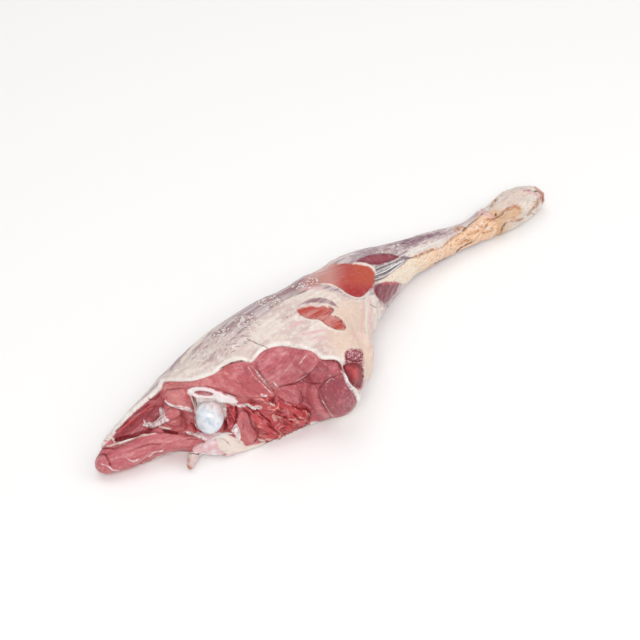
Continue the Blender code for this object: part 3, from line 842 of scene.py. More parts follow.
class LambColours(bpy.types.PropertyGroup):
    """Colours of the tissues, and of the painted shade and highlights on them."""

    muscle_deep: colour("Deep muscle", "Cut muscle at its deepest", "#98414E")
    muscle_rose: colour("Rose muscle", "Cut muscle as it mostly is", "#C0626B")
    muscle_pale: colour("Pale muscle", "Cut muscle that has bloomed pale", "#DB9C9B")
    muscle_warm: colour("Warm muscle", "Torn and fresh muscle", "#C9605A")
    # painted shade: the dark red laid in hollows, seams, cracks, between torn clods, at the gland core's
    # rim and under shreds
    muscle_shade: colour("Dark muscle", "Muscle deep in tears and hollows", "#80141E")
    # painted highlight: salmon laid on the crowns of torn clods and on the outer sides of shreds
    salmon_highlight: colour("Salmon muscle", "Dried edges of torn muscle", "#E5A097")
    muscle_torn: colour("Torn muscle", "Torn muscle as it mostly is", "#C94A4E")
    # fat flecks together with painted wet glints on the cut
    fleck_and_glint: colour("Muscle flecks", "Fat flecks and wet glints on the cut", "#EBC3C4")
    rump: colour("Plum membrane", "Membrane over the rump's dark muscle", "#97696E")
    fan_grey: colour("Shank grey", "Dark muscle between the shank sinews", "#736867")
    blood_red: colour("Fresh red", "Wet fresh muscle", "#C93A3C")
    window_red: colour("Bare muscle", "Muscle bare of fat on the outside", "#B8463C")
    window_deep: colour("Bare muscle, deep", "Bare muscle in its lower part", "#A6262C")
    window_glow: colour("Bare muscle, orange", "Bare muscle nearest the shank", "#BC4F38")
    window_pale: colour("Bare muscle, pale", "Muscle under a thin veil of membrane", "#CB8C83")
    plum: colour("Plum muscle", "Shin muscle under clear membrane", "#7F1F35")
    core_plum: colour("Shin plum", "Dark line of muscle along the shin", "#80586A")
    plum_grey: colour("Plum grey", "Muscle seen through silverskin", "#93707B")
    skin_grey: colour("Silverskin, dark", "Silverskin over dark muscle", "#A58A90")
    skin_pale: colour("Silverskin, pale", "Silverskin where it thickens", "#DACBC8")
    fat_cream: colour("Cream fat", "Thick fat", "#EADCD0")
    fat_white: colour("White fat", "Fat at its whitest", "#F4EEE8")
    fat_pink: colour("Pink fat", "Fat with muscle showing through", "#D3B8B3")
    fat_peach: colour("Peach fat", "Fat with a warm cast", "#EACDB6")
    sinew_cream: colour("Sinew", "Heel sinew", "#F4EAD8")
    sinew_tan: colour("Dry sinew", "Sinew that has begun to dry", "#F2CAA8")
    membrane: colour("Membrane", "Thick white joint membrane", "#F2EFEE")
    membrane_pink: colour("Pink membrane", "Thin membrane over muscle", "#E3B4B8")
    # dried blood in seams, also used for a painted shadow under the lip
    clot_and_shadow: colour("Clot", "Dried blood in seams", "#54302C")
    rust: colour("Rust", "Tan stains on drying skin", "#B9794C")
    cartilage: colour("Cartilage", "Hip ball", "#E6EBF1")
    cartilage_shade: colour("Cartilage shade", "Bluish veins in the ball", "#C9D2DE")
    hock_white: colour("Hock membrane", "Clear skin on the hock", "#E6D8CC")
    hock_grey: colour("Hock grey", "Hock skin over the dark joint", "#DED2C8")
    hock_tan: colour("Hock tan", "Tan patches on the hock", "#DDB087")
    hock_red: colour("Hock red", "Red edge of the hock", "#CF7F69")
    floor: colour("Floor", "Studio floor", "#FBFAF9")


# ---- materials --------------------------------------------------------------------------
def node(tree, kind, links=(), out=0, **settings):
    """Adds a node with its settings and returns an output; links maps its inputs to sources or values."""
    made = tree.nodes.new("ShaderNode" + kind)
    for name, value in settings.items():
        setattr(made, name, value)
    for socket, source in dict(links).items():
        if isinstance(source, bpy.types.NodeSocket):
            tree.links.new(source, made.inputs[socket])
        else:
            made.inputs[socket].default_value = source
    return made.outputs[out] if made.outputs else None


# Settings that many nodes share: an easing map range, a mix of colours, and sums.
EASED = {"interpolation_type": "SMOOTHSTEP"}
COLOURS = {"out": 2, "data_type": "RGBA"}
TIMES = {"operation": "MULTIPLY"}
PLUS = {"operation": "ADD"}
MINUS = {"operation": "SUBTRACT"}


def new_material(name):
    made = bpy.data.materials.new(name)
    made.use_nodes = True
    made.node_tree.nodes.clear()
    return made


def border(tree, name, wander, soft):
    """0 outside and 1 inside a tissue whose depth in mm is stored, with a wandering edge."""
    moved = node(
        tree, "Math", {0: node(tree, "Attribute", out="Fac", attribute_name=name), 1: wander},
        operation="ADD",
    )
    return node(tree, "MapRange", {"Value": moved, 1: -soft, 2: soft}, **EASED)


def lay(tree, below, above, share):
    """Lay one tissue over another: its colour, roughness and relief (mm)."""
    laid = {
        key: node(tree, "Mix", {0: share, 2: below[key], 3: above[key]}) for key in ("rough", "relief")
    }
    laid["colour"] = node(tree, "Mix", {0: share, 6: below["colour"], 7: above["colour"]}, **COLOURS)
    return laid


def finish_material(tree, top, radius, scatter, **surface):
    """Close a tissue stack with a shader, its bump and a little light carried under the surface."""
    bump = node(tree, "Bump", {"Height": top["relief"], "Distance": MM, "Strength": 1.0})
    links = {
        "Base Color": top["colour"], "Roughness": top["rough"], "Normal": bump,
        "Subsurface Weight": scatter, "Subsurface Radius": radius, "Subsurface Scale": 2.5 * MM,
    }
    links.update(surface)
    shader = node(tree, "BsdfPrincipled", links)
    node(tree, "OutputMaterial", {0: shader})


def in_mm(tree):
    """Places on the leg in millimetres."""
    place_at = node(tree, "TexCoord", out="Object")
    return node(tree, "VectorMath", {0: place_at, "Scale": 1 / MM}, operation="SCALE")


def centred(tree, value, times):
    """A pattern from 0 to 1 moved to swing about 0, times mm either way in all."""
    return node(tree, "Math", {0: node(tree, "Math", {0: value, 1: 0.5}, **MINUS), 1: times}, **TIMES)


def lay_marks(tree, top, edge, tone):
    """Lay the small drawn marks over the tissues: membranes, blood, stains, painted shade in cracks and
    creases, and a painted shadow under the lip.
    """
    small = node(tree, "Math", {0: edge, 1: 0.5}, **TIMES)
    breaks = node(
        tree, "TexNoise", {"Vector": in_mm(tree), "Scale": 1 / 2.6, "Detail": 3, "Roughness": 0.55},
    )
    flat = {
        "pink": (tone.membrane_pink, 0.36, 1.0, 0.45),
        "rust": (tone.rust, 0.5, 1.0, 0.25),
        "cream": (tone.fat_cream, 0.45, 0.7, 0.85),
        "red": (tone.blood_red, 0.28, 1.2, 0.2),
        # dark: painted shade in cracks, creases and hollows
        "dark": (tone.muscle_shade, 0.3, 0.55, 0.6),
        "clot_and_shadow": (tone.clot_and_shadow, 0.5, 0.45, 0.35),
        "white": (tone.membrane, 0.32, 0.55, 0.35),
    }
    for name, (shade, rough, soft, least) in flat.items():
        share = border(tree, name, small, soft)
        share = node(
            tree, "Math",
            {
                0: share,
                1: node(tree, "MapRange", {"Value": breaks, 1: 0.38, 2: 0.6, 3: least, 4: 0.95}, **EASED),
            },
            **TIMES,
        )
        top = lay(tree, top, {"colour": shade, "rough": rough, "relief": top["relief"]}, share)
    return top


def raw_leg_material():
    """Raw lamb: wet muscle, soft fat, silverskin. Gives a moist sheen over layered colour."""
    tone = bpy.context.scene.lamb_colours
    made = new_material("raw_muscle_fat_and_silverskin")
    tree = made.node_tree
    where = in_mm(tree)
    grain = node(tree, "Attribute", out="Vector", attribute_name="grain")
    stored = {
        name: node(tree, "Attribute", out="Fac", attribute_name=name)
        for name in (
            "hollow", "crumb_shadow", "peach", "rim", "cover", "veil", "depth", "glow", "plum_light",
            "dry", "tone", "warm", "seam", "clod", "gland_core", "lip", "cut_shade_share",
        )
    }
    hollow = stored["hollow"]
    patterns = (
        # coordinates, size in mm, stretch along the leg, detail, roughness, distortion
        (where, 5.0, 1, 4, 0.55, 0),  # wander: how borders wander
        (where, 26.0, 1, 2, 0.55, 0),  # clouds: slow changes over the whole leg
        (where, 1.1, 1, 2, 0.55, 0),  # fine: grain of the fat
        (where, 1.7, 22, 4, 0.65, 0.2),  # lines: pale lines of the silverskin
        (where, 8.0, 6, 3, 0.55, 0.6),  # bands: thicker and thinner membrane
        (grain, 1.9, 16, 4, 0.65, 0.3),  # fan: folds that follow the grain
        (where, 9.0, 3, 3, 0.55, 0),  # cloth: veil over the windows
        (where, 1.5, 8, 4, 0.65, 0.3),  # threads: threads in bare muscle
        (where, 2.2, 10, 3, 0.55, 0.4),  # ropes: ropes of the heel sinew
        (where, 4.2, 1.8, 4, 0.65, 0),  # blotch: its dry patches
        (where, 1.5, 2.2, 3, 0.7, 0),  # flecks: flecks of the hock's cover
        (grain, 1.4, 5, 3, 0.55, 0.5),  # fibres: muscle fibres
        (grain, 6.0, 2.2, 4, 0.55, 0.5),  # bundles: bundles of fibres
        # speckle also places the painted wet glints on the cut
        (grain, 2.3, 2.2, 4, 0.65, 0),  # speckle: fat between the bundles
        (grain, 2.0, 2.5, 4, 0.65, 1.0),  # shreds: torn ends
    )
    (
        wander, clouds, fine, lines, bands, fan, cloth, threads,
        ropes, blotch, flecks, fibres, bundles, speckle, shreds,
    ) = (
        node(
            tree, "TexNoise",
            {
                "Vector": node(tree, "Mapping", {"Vector": along, "Scale": (1 / stretch, 1, 1)}),
                "Scale": 1 / size, "Detail": detail, "Roughness": rough, "Distortion": warp,
            },
        )
        for along, size, stretch, detail, rough, warp in patterns
    )
    edge = centred(tree, wander, 3.2)

    # silverskin: taut, thin and shiny, with sharp pale lines along the leg
    veil = node(
        tree, "MapRange", {"Value": node(tree, "Math", {0: lines, 1: bands}, **PLUS), 1: 0.84, 2: 1.16},
        **EASED,
    )
    skin_colour = node(tree, "Mix", {0: veil, 6: tone.skin_grey, 7: tone.skin_pale}, **COLOURS)
    rump = border(tree, "rump", edge, 3.0)
    skin_colour = node(
        tree, "Mix",
        {
            0: node(
                tree, "Math",
                {
                    0: rump,
                    1: node(tree, "MapRange", {"Value": bands, 1: 0.35, 2: 0.65, 3: 0.95, 4: 0.4}, **EASED),
                },
                **TIMES,
            ),
            6: skin_colour, 7: tone.rump,
        },
        **COLOURS,
    )
    # painted shadow: the plum membrane colour laid round the fat crumbs
    crumb_shadow = node(
        tree, "Math",
        {
            0: stored["crumb_shadow"],
            1: node(tree, "MapRange", {"Value": fine, 1: 0.4, 2: 0.6, 3: 0.3, 4: 0.8}, **EASED),
        },
        **TIMES,
    )
    skin_colour = node(tree, "Mix", {0: crumb_shadow, 6: skin_colour, 7: tone.rump}, **COLOURS)
    fan_ground = node(tree, "Math", {0: border(tree, "fan_ground", edge, 2.0), 1: 0.85}, **TIMES)
    skin_colour = node(tree, "Mix", {0: fan_ground, 6: skin_colour, 7: tone.fan_grey}, **COLOURS)
    skin = {
        "colour": skin_colour,
        "rough": node(tree, "MapRange", {"Value": lines, 1: 0.3, 2: 0.7, 3: 0.32, 4: 0.44}, **EASED),
        "relief": node(tree, "Math", {0: lines, 1: 0.22}, **TIMES),
    }
    # fat: dull cream, pinker where it is thin, streaked where membrane runs through it
    blush = node(
        tree, "MapRange", {"Value": node(tree, "Math", {0: bands, 1: clouds}, **PLUS), 1: 0.8, 2: 1.15},
        **EASED,
    )
    fat_colour = node(tree, "Mix", {0: blush, 6: tone.fat_pink, 7: tone.fat_cream}, **COLOURS)
    fat_colour = node(
        tree, "Mix",
        {
            0: node(tree, "MapRange", {"Value": wander, 1: 0.45, 2: 0.7, 4: 0.8}, **EASED), 6: fat_colour,
            7: tone.fat_white,
        },
        **COLOURS,
    )
    fat_colour = node(
        tree, "Mix",
        {0: node(tree, "Math", {0: stored["peach"], 1: 0.75}, **TIMES), 6: fat_colour, 7: tone.fat_peach},
        **COLOURS,
    )
    folds = node(
        tree, "MapRange", {"Value": node(tree, "Math", {0: lines, 1: fan}, **PLUS), 1: 0.86, 2: 1.1},
        **EASED,
    )
    fat_colour = node(
        tree, "Mix", {0: node(tree, "Math", {0: folds, 1: 0.3}, **TIMES), 6: fat_colour, 7: tone.fat_pink},
        **COLOURS,
    )
    rim = node(
        tree, "Math",
        {
            0: stored["rim"],
            1: node(tree, "MapRange", {"Value": wander, 1: 0.35, 2: 0.55, 3: 0.3, 4: 0.9}, **EASED),
        },
        **TIMES,
    )
    fat_colour = node(tree, "Mix", {0: rim, 6: fat_colour, 7: tone.fat_white}, **COLOURS)
    fat = {
        "colour": fat_colour,
        "rough": node(tree, "MapRange", {"Value": fine, 1: 0.3, 2: 0.7, 3: 0.42, 4: 0.58}, **EASED),
        "relief": node(
            tree, "Math",
            {
                0: node(tree, "Math", {0: folds, 1: -0.12}, **TIMES),
                1: node(tree, "Math", {0: wander, 1: 0.4}, **TIMES),
            },
            **PLUS,
        ),
    }
    streaks = node(
        tree, "Math",
        {
            0: border(tree, "streaked", edge, 5.0),
            1: node(tree, "MapRange", {"Value": fan, 1: 0.39, 2: 0.48, 3: 1.0, 4: 0.0}, **EASED),
        },
        **TIMES,
    )
    cover = node(tree, "Math", {0: stored["cover"], 1: centred(tree, bands, 0.9)}, **PLUS)
    cover = node(tree, "Math", {0: cover, 1: node(tree, "Math", {0: streaks, 1: 0.75}, **TIMES)}, **MINUS)
    top = lay(tree, skin, fat, node(tree, "MapRange", {"Value": cover, 1: 0.3, 2: 0.7}, **EASED))
    # bare muscle in the windows of the fat, veiled at one end
    veiled = node(tree, "Math", {0: stored["veil"], 1: centred(tree, cloth, 0.7)}, **PLUS)
    bare = node(tree, "Mix", {0: stored["depth"], 6: tone.window_red, 7: tone.window_deep}, **COLOURS)
    bare = node(tree, "Mix", {0: stored["glow"], 6: bare, 7: tone.window_glow}, **COLOURS)
    pale_share = node(
        tree, "Math",
        {
            0: border(tree, "small_window", edge, 1.0),
            1: node(
                tree, "MapRange",
                {"Value": node(tree, "Math", {0: threads, 1: cloth}, **PLUS), 1: 0.86, 2: 1.16, 4: 0.8},
                **EASED,
            ),
        },
        **TIMES,
    )
    bare = node(tree, "Mix", {0: pale_share, 6: bare, 7: tone.window_pale}, **COLOURS)
    bare = node(
        tree, "Mix",
        {
            0: node(tree, "MapRange", {"Value": threads, 1: 0.5, 2: 0.7, 4: 0.25}, **EASED), 6: bare,
            7: tone.window_pale,
        },
        **COLOURS,
    )
    window = {
        "colour": node(
            tree, "Mix",
            {
                0: node(tree, "MapRange", {"Value": veiled, 1: 0.1, 2: 0.9}, **EASED), 6: bare,
                7: tone.window_pale,
            },
            **COLOURS,
        ),
        "rough": 0.28, "relief": node(tree, "Math", {0: threads, 1: 0.12}, **TIMES),
    }
    window_share = node(
        tree, "Math",
        {
            0: border(tree, "window", edge, 0.7),
            1: node(tree, "MapRange", {"Value": veiled, 1: 0.9, 2: 1.5, 3: 1.0, 4: 0.3}, **EASED),
        },
        **TIMES,
    )
    top = lay(tree, top, window, window_share)
    # shin muscles under clear membrane
    purple = node(tree, "MapRange", {"Value": threads, 1: 0.4, 2: 0.7}, **EASED)
    plum_colour = node(
        tree, "Mix", {0: node(tree, "Math", {0: purple, 1: 0.3}, **TIMES), 6: tone.plum, 7: tone.plum_grey},
        **COLOURS,
    )
    plum = {
        "colour": node(
            tree, "Mix",
            {
                0: node(tree, "Math", {0: stored["plum_light"], 1: 0.6}, **TIMES), 6: plum_colour,
                7: tone.muscle_rose,
            },
            **COLOURS,
        ),
        "rough": 0.3, "relief": node(tree, "Math", {0: threads, 1: 0.2}, **TIMES),
    }
    top = lay(tree, top, plum, border(tree, "plum", edge, 0.9))
    shaded = node(
        tree, "Math",
        {
            0: border(tree, "core", edge, 2.2),
            1: node(tree, "MapRange", {"Value": lines, 1: 0.4, 2: 0.6, 3: 0.95, 4: 0.55}, **EASED),
        },
        **TIMES,
    )
    top = lay(tree, top, {"colour": tone.core_plum, "rough": 0.32, "relief": top["relief"]}, shaded)
    # heel sinew: cream to tan, ropy along its run
    dry = node(
        tree, "Math",
        {0: stored["dry"], 1: centred(tree, node(tree, "Math", {0: blotch, 1: ropes}, **PLUS), 1.5)},
        **PLUS,
    )
    sinew_colour = node(
        tree, "Mix",
        {
            0: node(tree, "MapRange", {"Value": dry, 1: 0.35, 2: 1.6}, **EASED), 6: tone.sinew_cream,
            7: tone.sinew_tan,
        },
        **COLOURS,
    )
    sinew_colour = node(
        tree, "Mix",
        {
            0: node(tree, "MapRange", {"Value": blotch, 1: 0.5, 2: 0.7, 4: 0.75}, **EASED), 6: sinew_colour,
            7: tone.fat_white,
        },
        **COLOURS,
    )
    scuffed = node(
        tree, "Math",
        {
            0: node(tree, "MapRange", {"Value": flecks, 1: 0.52, 2: 0.64}, **EASED),
            1: node(tree, "MapRange", {"Value": dry, 1: 0.3, 2: 1.2, 3: 0.05}, **EASED),
        },
        **TIMES,
    )
    sinew_colour = node(
        tree, "Mix", {0: node(tree, "Math", {0: scuffed, 1: 0.75}, **TIMES), 6: sinew_colour, 7: tone.rust},
        **COLOURS,
    )
    seamed = node(
        tree, "Math",
        {
            0: node(tree, "MapRange", {"Value": ropes, 1: 0.42, 2: 0.3}, **EASED),
            1: node(tree, "MapRange", {"Value": dry, 1: 0.2, 2: 1.0, 3: 0.15, 4: 0.7}, **EASED),
        },
        **TIMES,
    )
    sinew_colour = node(tree, "Mix", {0: seamed, 6: sinew_colour, 7: tone.hock_tan}, **COLOURS)
    sinew = {
        "colour": sinew_colour, "rough": 0.47,
        "relief": node(
            tree, "Math",
            {
                0: node(tree, "Math", {0: ropes, 1: 0.9}, **TIMES),
                1: node(tree, "Math", {0: flecks, 1: 0.4}, **TIMES),
            },
            **PLUS,
        ),
    }
    top = lay(tree, top, sinew, border(tree, "sinew", edge, 0.9))
    # cut muscle: fibres seen end on and along, speckled with fat flecks and painted wet glints
    swing = node(tree, "Math", {0: centred(tree, fibres, 0.6), 1: centred(tree, bundles, 1.7)}, **PLUS)
    paleness = node(tree, "Math", {0: stored["tone"], 1: swing}, **PLUS)
    flesh_colour = node(
        tree, "Mix",
        {
            0: node(tree, "MapRange", {"Value": paleness, 1: 0.0, 2: 0.6}, **EASED), 6: tone.muscle_deep,
            7: tone.muscle_rose,
        },
        **COLOURS,
    )
    flesh_colour = node(
        tree, "Mix",
        {
            0: node(tree, "MapRange", {"Value": paleness, 1: 0.5, 2: 1.15}, **EASED), 6: flesh_colour,
            7: tone.muscle_pale,
        },
        **COLOURS,
    )
    flesh_colour = node(
        tree, "Mix",
        {
            0: node(
                tree, "Math",
                {
                    0: stored["warm"],
                    1: node(tree, "MapRange", {"Value": clouds, 1: 0.3, 2: 0.7, 3: 0.3, 4: 0.9}, **EASED),
                },
                **TIMES,
            ),
            6: flesh_colour, 7: tone.muscle_warm,
        },
        **COLOURS,
    )
    # pale specks: fat flecks and painted wet glints
    flesh_colour = node(
        tree, "Mix",
        {
            0: node(tree, "MapRange", {"Value": speckle, 1: 0.54, 2: 0.8, 4: 0.5}, **EASED),
            6: flesh_colour, 7: tone.fleck_and_glint,
        },
        **COLOURS,
    )
    flesh_colour = node(
        tree, "Mix",
        {
            0: node(tree, "MapRange", {"Value": speckle, 1: 0.42, 2: 0.26, 4: 0.6}, **EASED),
            6: flesh_colour, 7: tone.muscle_deep,
        },
        **COLOURS,
    )
    # painted shade: the seams between muscles darkened toward the shade red
    seam_shade = node(
        tree, "MapRange",
        {
            "Value": node(tree, "Math", {0: stored["seam"], 1: centred(tree, wander, 1.6)}, **PLUS), 1: 0.1,
            2: 2.2, 3: 0.5, 4: 0.0,
        },
        **EASED,
    )
    flesh_colour = node(tree, "Mix", {0: seam_shade, 6: flesh_colour, 7: tone.muscle_shade}, **COLOURS)
    flesh = {
        "colour": flesh_colour,
        "rough": node(tree, "MapRange", {"Value": speckle, 1: 0.3, 2: 0.7, 3: 0.42, 4: 0.3}, **EASED),
        "relief": node(
            tree, "Math",
            {
                0: node(tree, "Math", {0: fibres, 1: 0.4}, **TIMES),
                1: node(tree, "Math", {0: speckle, 1: 0.7}, **TIMES),
            },
            **PLUS,
        ),
    }
    top = lay(tree, top, flesh, border(tree, "flesh", node(tree, "Math", {0: edge, 1: 0.3}, **TIMES), 0.4))
    # torn muscle: painted shade between its clods, painted salmon highlight on their crowns
    crown = node(
        tree, "Math", {0: stored["clod"], 1: node(tree, "Math", {0: shreds, 1: 0.9}, **TIMES)}, **PLUS,
    )
    crown = node(tree, "Math", {0: crown, 1: node(tree, "Math", {0: hollow, 1: 0.1}, **TIMES)}, **MINUS)
    torn_colour = node(
        tree, "Mix",
        {
            0: node(tree, "MapRange", {"Value": crown, 1: 0.36, 2: 0.88}, **EASED), 6: tone.muscle_shade,
            7: tone.muscle_torn,
        },
        **COLOURS,
    )
    torn_colour = node(
        tree, "Mix",
        {
            0: node(tree, "MapRange", {"Value": crown, 1: 0.98, 2: 1.32}, **EASED), 6: torn_colour,
            7: tone.salmon_highlight,
        },
        **COLOURS,
    )
    torn_colour = node(
        tree, "Mix",
        {
            0: node(tree, "MapRange", {"Value": bundles, 1: 0.5, 2: 0.68, 4: 0.7}, **EASED), 6: torn_colour,
            7: tone.muscle_rose,
        },
        **COLOURS,
    )
    torn = {
        "colour": torn_colour,
        "rough": node(tree, "MapRange", {"Value": shreds, 1: 0.3, 2: 0.7, 3: 0.24, 4: 0.4}, **EASED),
        "relief": node(tree, "Math", {0: shreds, 1: 1.2}, **TIMES),
    }
    top = lay(tree, top, torn, border(tree, "torn", edge, 1.2))
    # gland: pinkish grey grains above a smooth dark core, painted in shade where it dips at its rim
    middle = node(tree, "Math", {0: stored["gland_core"], 1: centred(tree, bundles, 9.0)}, **PLUS)
    core = {
        "colour": node(
            tree, "Mix",
            {
                0: node(tree, "MapRange", {"Value": middle, 1: 1.5, 2: 8.0}, **EASED), 6: tone.muscle_shade,
                7: tone.muscle_torn,
            },
            **COLOURS,
        ),
        "rough": 0.5, "relief": node(tree, "Math", {0: flecks, 1: 1.2}, **TIMES),
    }
    grainy = {
        "colour": node(
            tree, "Mix",
            {
                0: node(tree, "MapRange", {"Value": flecks, 1: 0.46, 2: 0.62}, **EASED),
                6: tone.muscle_deep, 7: tone.membrane_pink,
            },
            **COLOURS,
        ),
        "rough": 0.35, "relief": node(tree, "Math", {0: speckle, 1: 1.0}, **TIMES),
    }
    top = lay(tree, top, grainy, border(tree, "gland", edge, 1.0))
    top = lay(tree, top, core, border(tree, "gland_core", edge, 1.0))
    # joint capsule: satin white membrane going pink where it is thin
    thin = node(
        tree, "MapRange",
        {
            "Value": node(
                tree, "Math",
                {
                    0: wander,
                    1: node(
                        tree, "TexNoise",
                        {"Vector": where, "Scale": 1 / 11.0, "Detail": 2, "Roughness": 0.55},
                    ),
                },
                **PLUS,
            ),
            1: 0.75, 2: 1.15, 3: 0.15, 4: 0.95,
        },
        **EASED,
    )
    thin = node(
        tree, "Math",
        {0: thin, 1: node(tree, "MapRange", {"Value": stored["lip"], 1: -2.0, 2: 2.0, 3: 0.4}, **EASED)},
        **TIMES,
    )
    satin = {
        "colour": node(tree, "Mix", {0: thin, 6: tone.membrane, 7: tone.membrane_pink}, **COLOURS),
        "rough": 0.3, "relief": node(tree, "Math", {0: wander, 1: 0.4}, **TIMES),
    }
    top = lay(tree, top, satin, border(tree, "capsule", edge, 0.8))
    ligament = {
        "colour": node(
            tree, "Mix",
            {
                0: node(tree, "MapRange", {"Value": fibres, 1: 0.35, 2: 0.65}, **EASED), 6: tone.fat_pink,
                7: tone.fat_white,
            },
            **COLOURS,
        ),
        "rough": 0.3, "relief": node(tree, "Math", {0: fibres, 1: 0.5}, **TIMES),
    }
    top = lay(tree, top, ligament, border(tree, "ball_cap", edge, 0.9))
    # painted shade: hollows of the cut darken toward the shade red, then the drawn marks
    deep = node(
        tree, "Math",
        {0: node(tree, "MapRange", {"Value": hollow, 1: 0.35, 2: 2.0}, **EASED), 1: stored["cut_shade_share"]},
        **TIMES,
    )
    shaded = {"rough": top["rough"], "relief": top["relief"]}
    shaded["colour"] = node(
        tree, "Mix",
        {0: node(tree, "Math", {0: deep, 1: 0.6}, **TIMES), 6: top["colour"], 7: tone.muscle_shade},
        **COLOURS,
    )
    top = lay_marks(tree, shaded, edge, tone)
    wet = node(tree, "MapRange", {"Value": hollow, 1: 0.0, 2: 1.4, 3: 0.3, 4: 0.04}, **EASED)
    gloss = {"Coat Weight": wet, "Coat Roughness": 0.16, "Specular IOR Level": 0.36}
    finish_material(tree, top, (1.0, 0.35, 0.25), 0.12, **gloss)
    return made


def cartilage_material():
    """Joint cartilage, wet and glass smooth. Gives a bluish milky glow with clear highlights."""
    tone = bpy.context.scene.lamb_colours
    made = new_material("wet_hip_cartilage")
    tree = made.node_tree
    where = in_mm(tree)
    milk = node(
        tree, "TexNoise",
        {"Vector": where, "Scale": 1 / 7.0, "Detail": 3, "Roughness": 0.55, "Distortion": 0.8},
    )
    veins = node(
        tree, "MapRange",
        {
            "Value": node(
                tree, "TexNoise",
                {
                    "Vector": node(tree, "Mapping", {"Vector": where, "Scale": (1, 1, 1 / 4)}),
                    "Scale": 1 / 3.0, "Detail": 2, "Roughness": 0.55, "Distortion": 0.6,
                },
            ),
            1: 0.4, 2: 0.68,
        },
        **EASED,
    )
    body = node(
        tree, "Mix",
        {
            0: node(tree, "MapRange", {"Value": milk, 1: 0.35, 2: 0.65}, **EASED), 6: tone.cartilage_shade,
            7: tone.cartilage,
        },
        **COLOURS,
    )
    body = node(
        tree, "Mix", {0: node(tree, "Math", {0: veins, 1: 0.7}, **TIMES), 6: body, 7: tone.membrane},
        **COLOURS,
    )
    body = node(
        tree, "Mix",
        {0: node(tree, "Attribute", out="Fac", attribute_name="shade"), 6: body, 7: tone.fat_pink},
        **COLOURS,
    )
    top = {"colour": body, "rough": 0.22, "relief": node(tree, "Math", {0: milk, 1: 0.25}, **TIMES)}
    finish_material(tree, top, (0.8, 0.9, 1.0), 0.3)
    return made


def strand_material(name, low, high, rough, relief, scatter):
    """Soft strands whose own shade runs from low to high."""
    made = new_material(name)
    tree = made.node_tree
    where = in_mm(tree)
    mottle = node(tree, "TexNoise", {"Vector": where, "Scale": 1 / 2.0, "Detail": 3, "Roughness": 0.55})
    share = node(
        tree, "Math",
        {
            0: node(tree, "Attribute", out="Fac", attribute_name="shade"),
            1: node(tree, "Math", {0: node(tree, "Math", {0: mottle, 1: 0.5}, **MINUS), 1: 0.9}, **TIMES),
        },
        **PLUS,
    )
    top = {
        "colour": node(
            tree, "Mix",
            {0: node(tree, "MapRange", {"Value": share, 1: 0.0, 2: 1.0}, **EASED), 6: low, 7: high},
            **COLOURS,
        ),
        "rough": rough, "relief": node(tree, "Math", {0: mottle, 1: relief}, **TIMES),
    }
    finish_material(tree, top, (1.0, 0.4, 0.3), scatter)
    return made


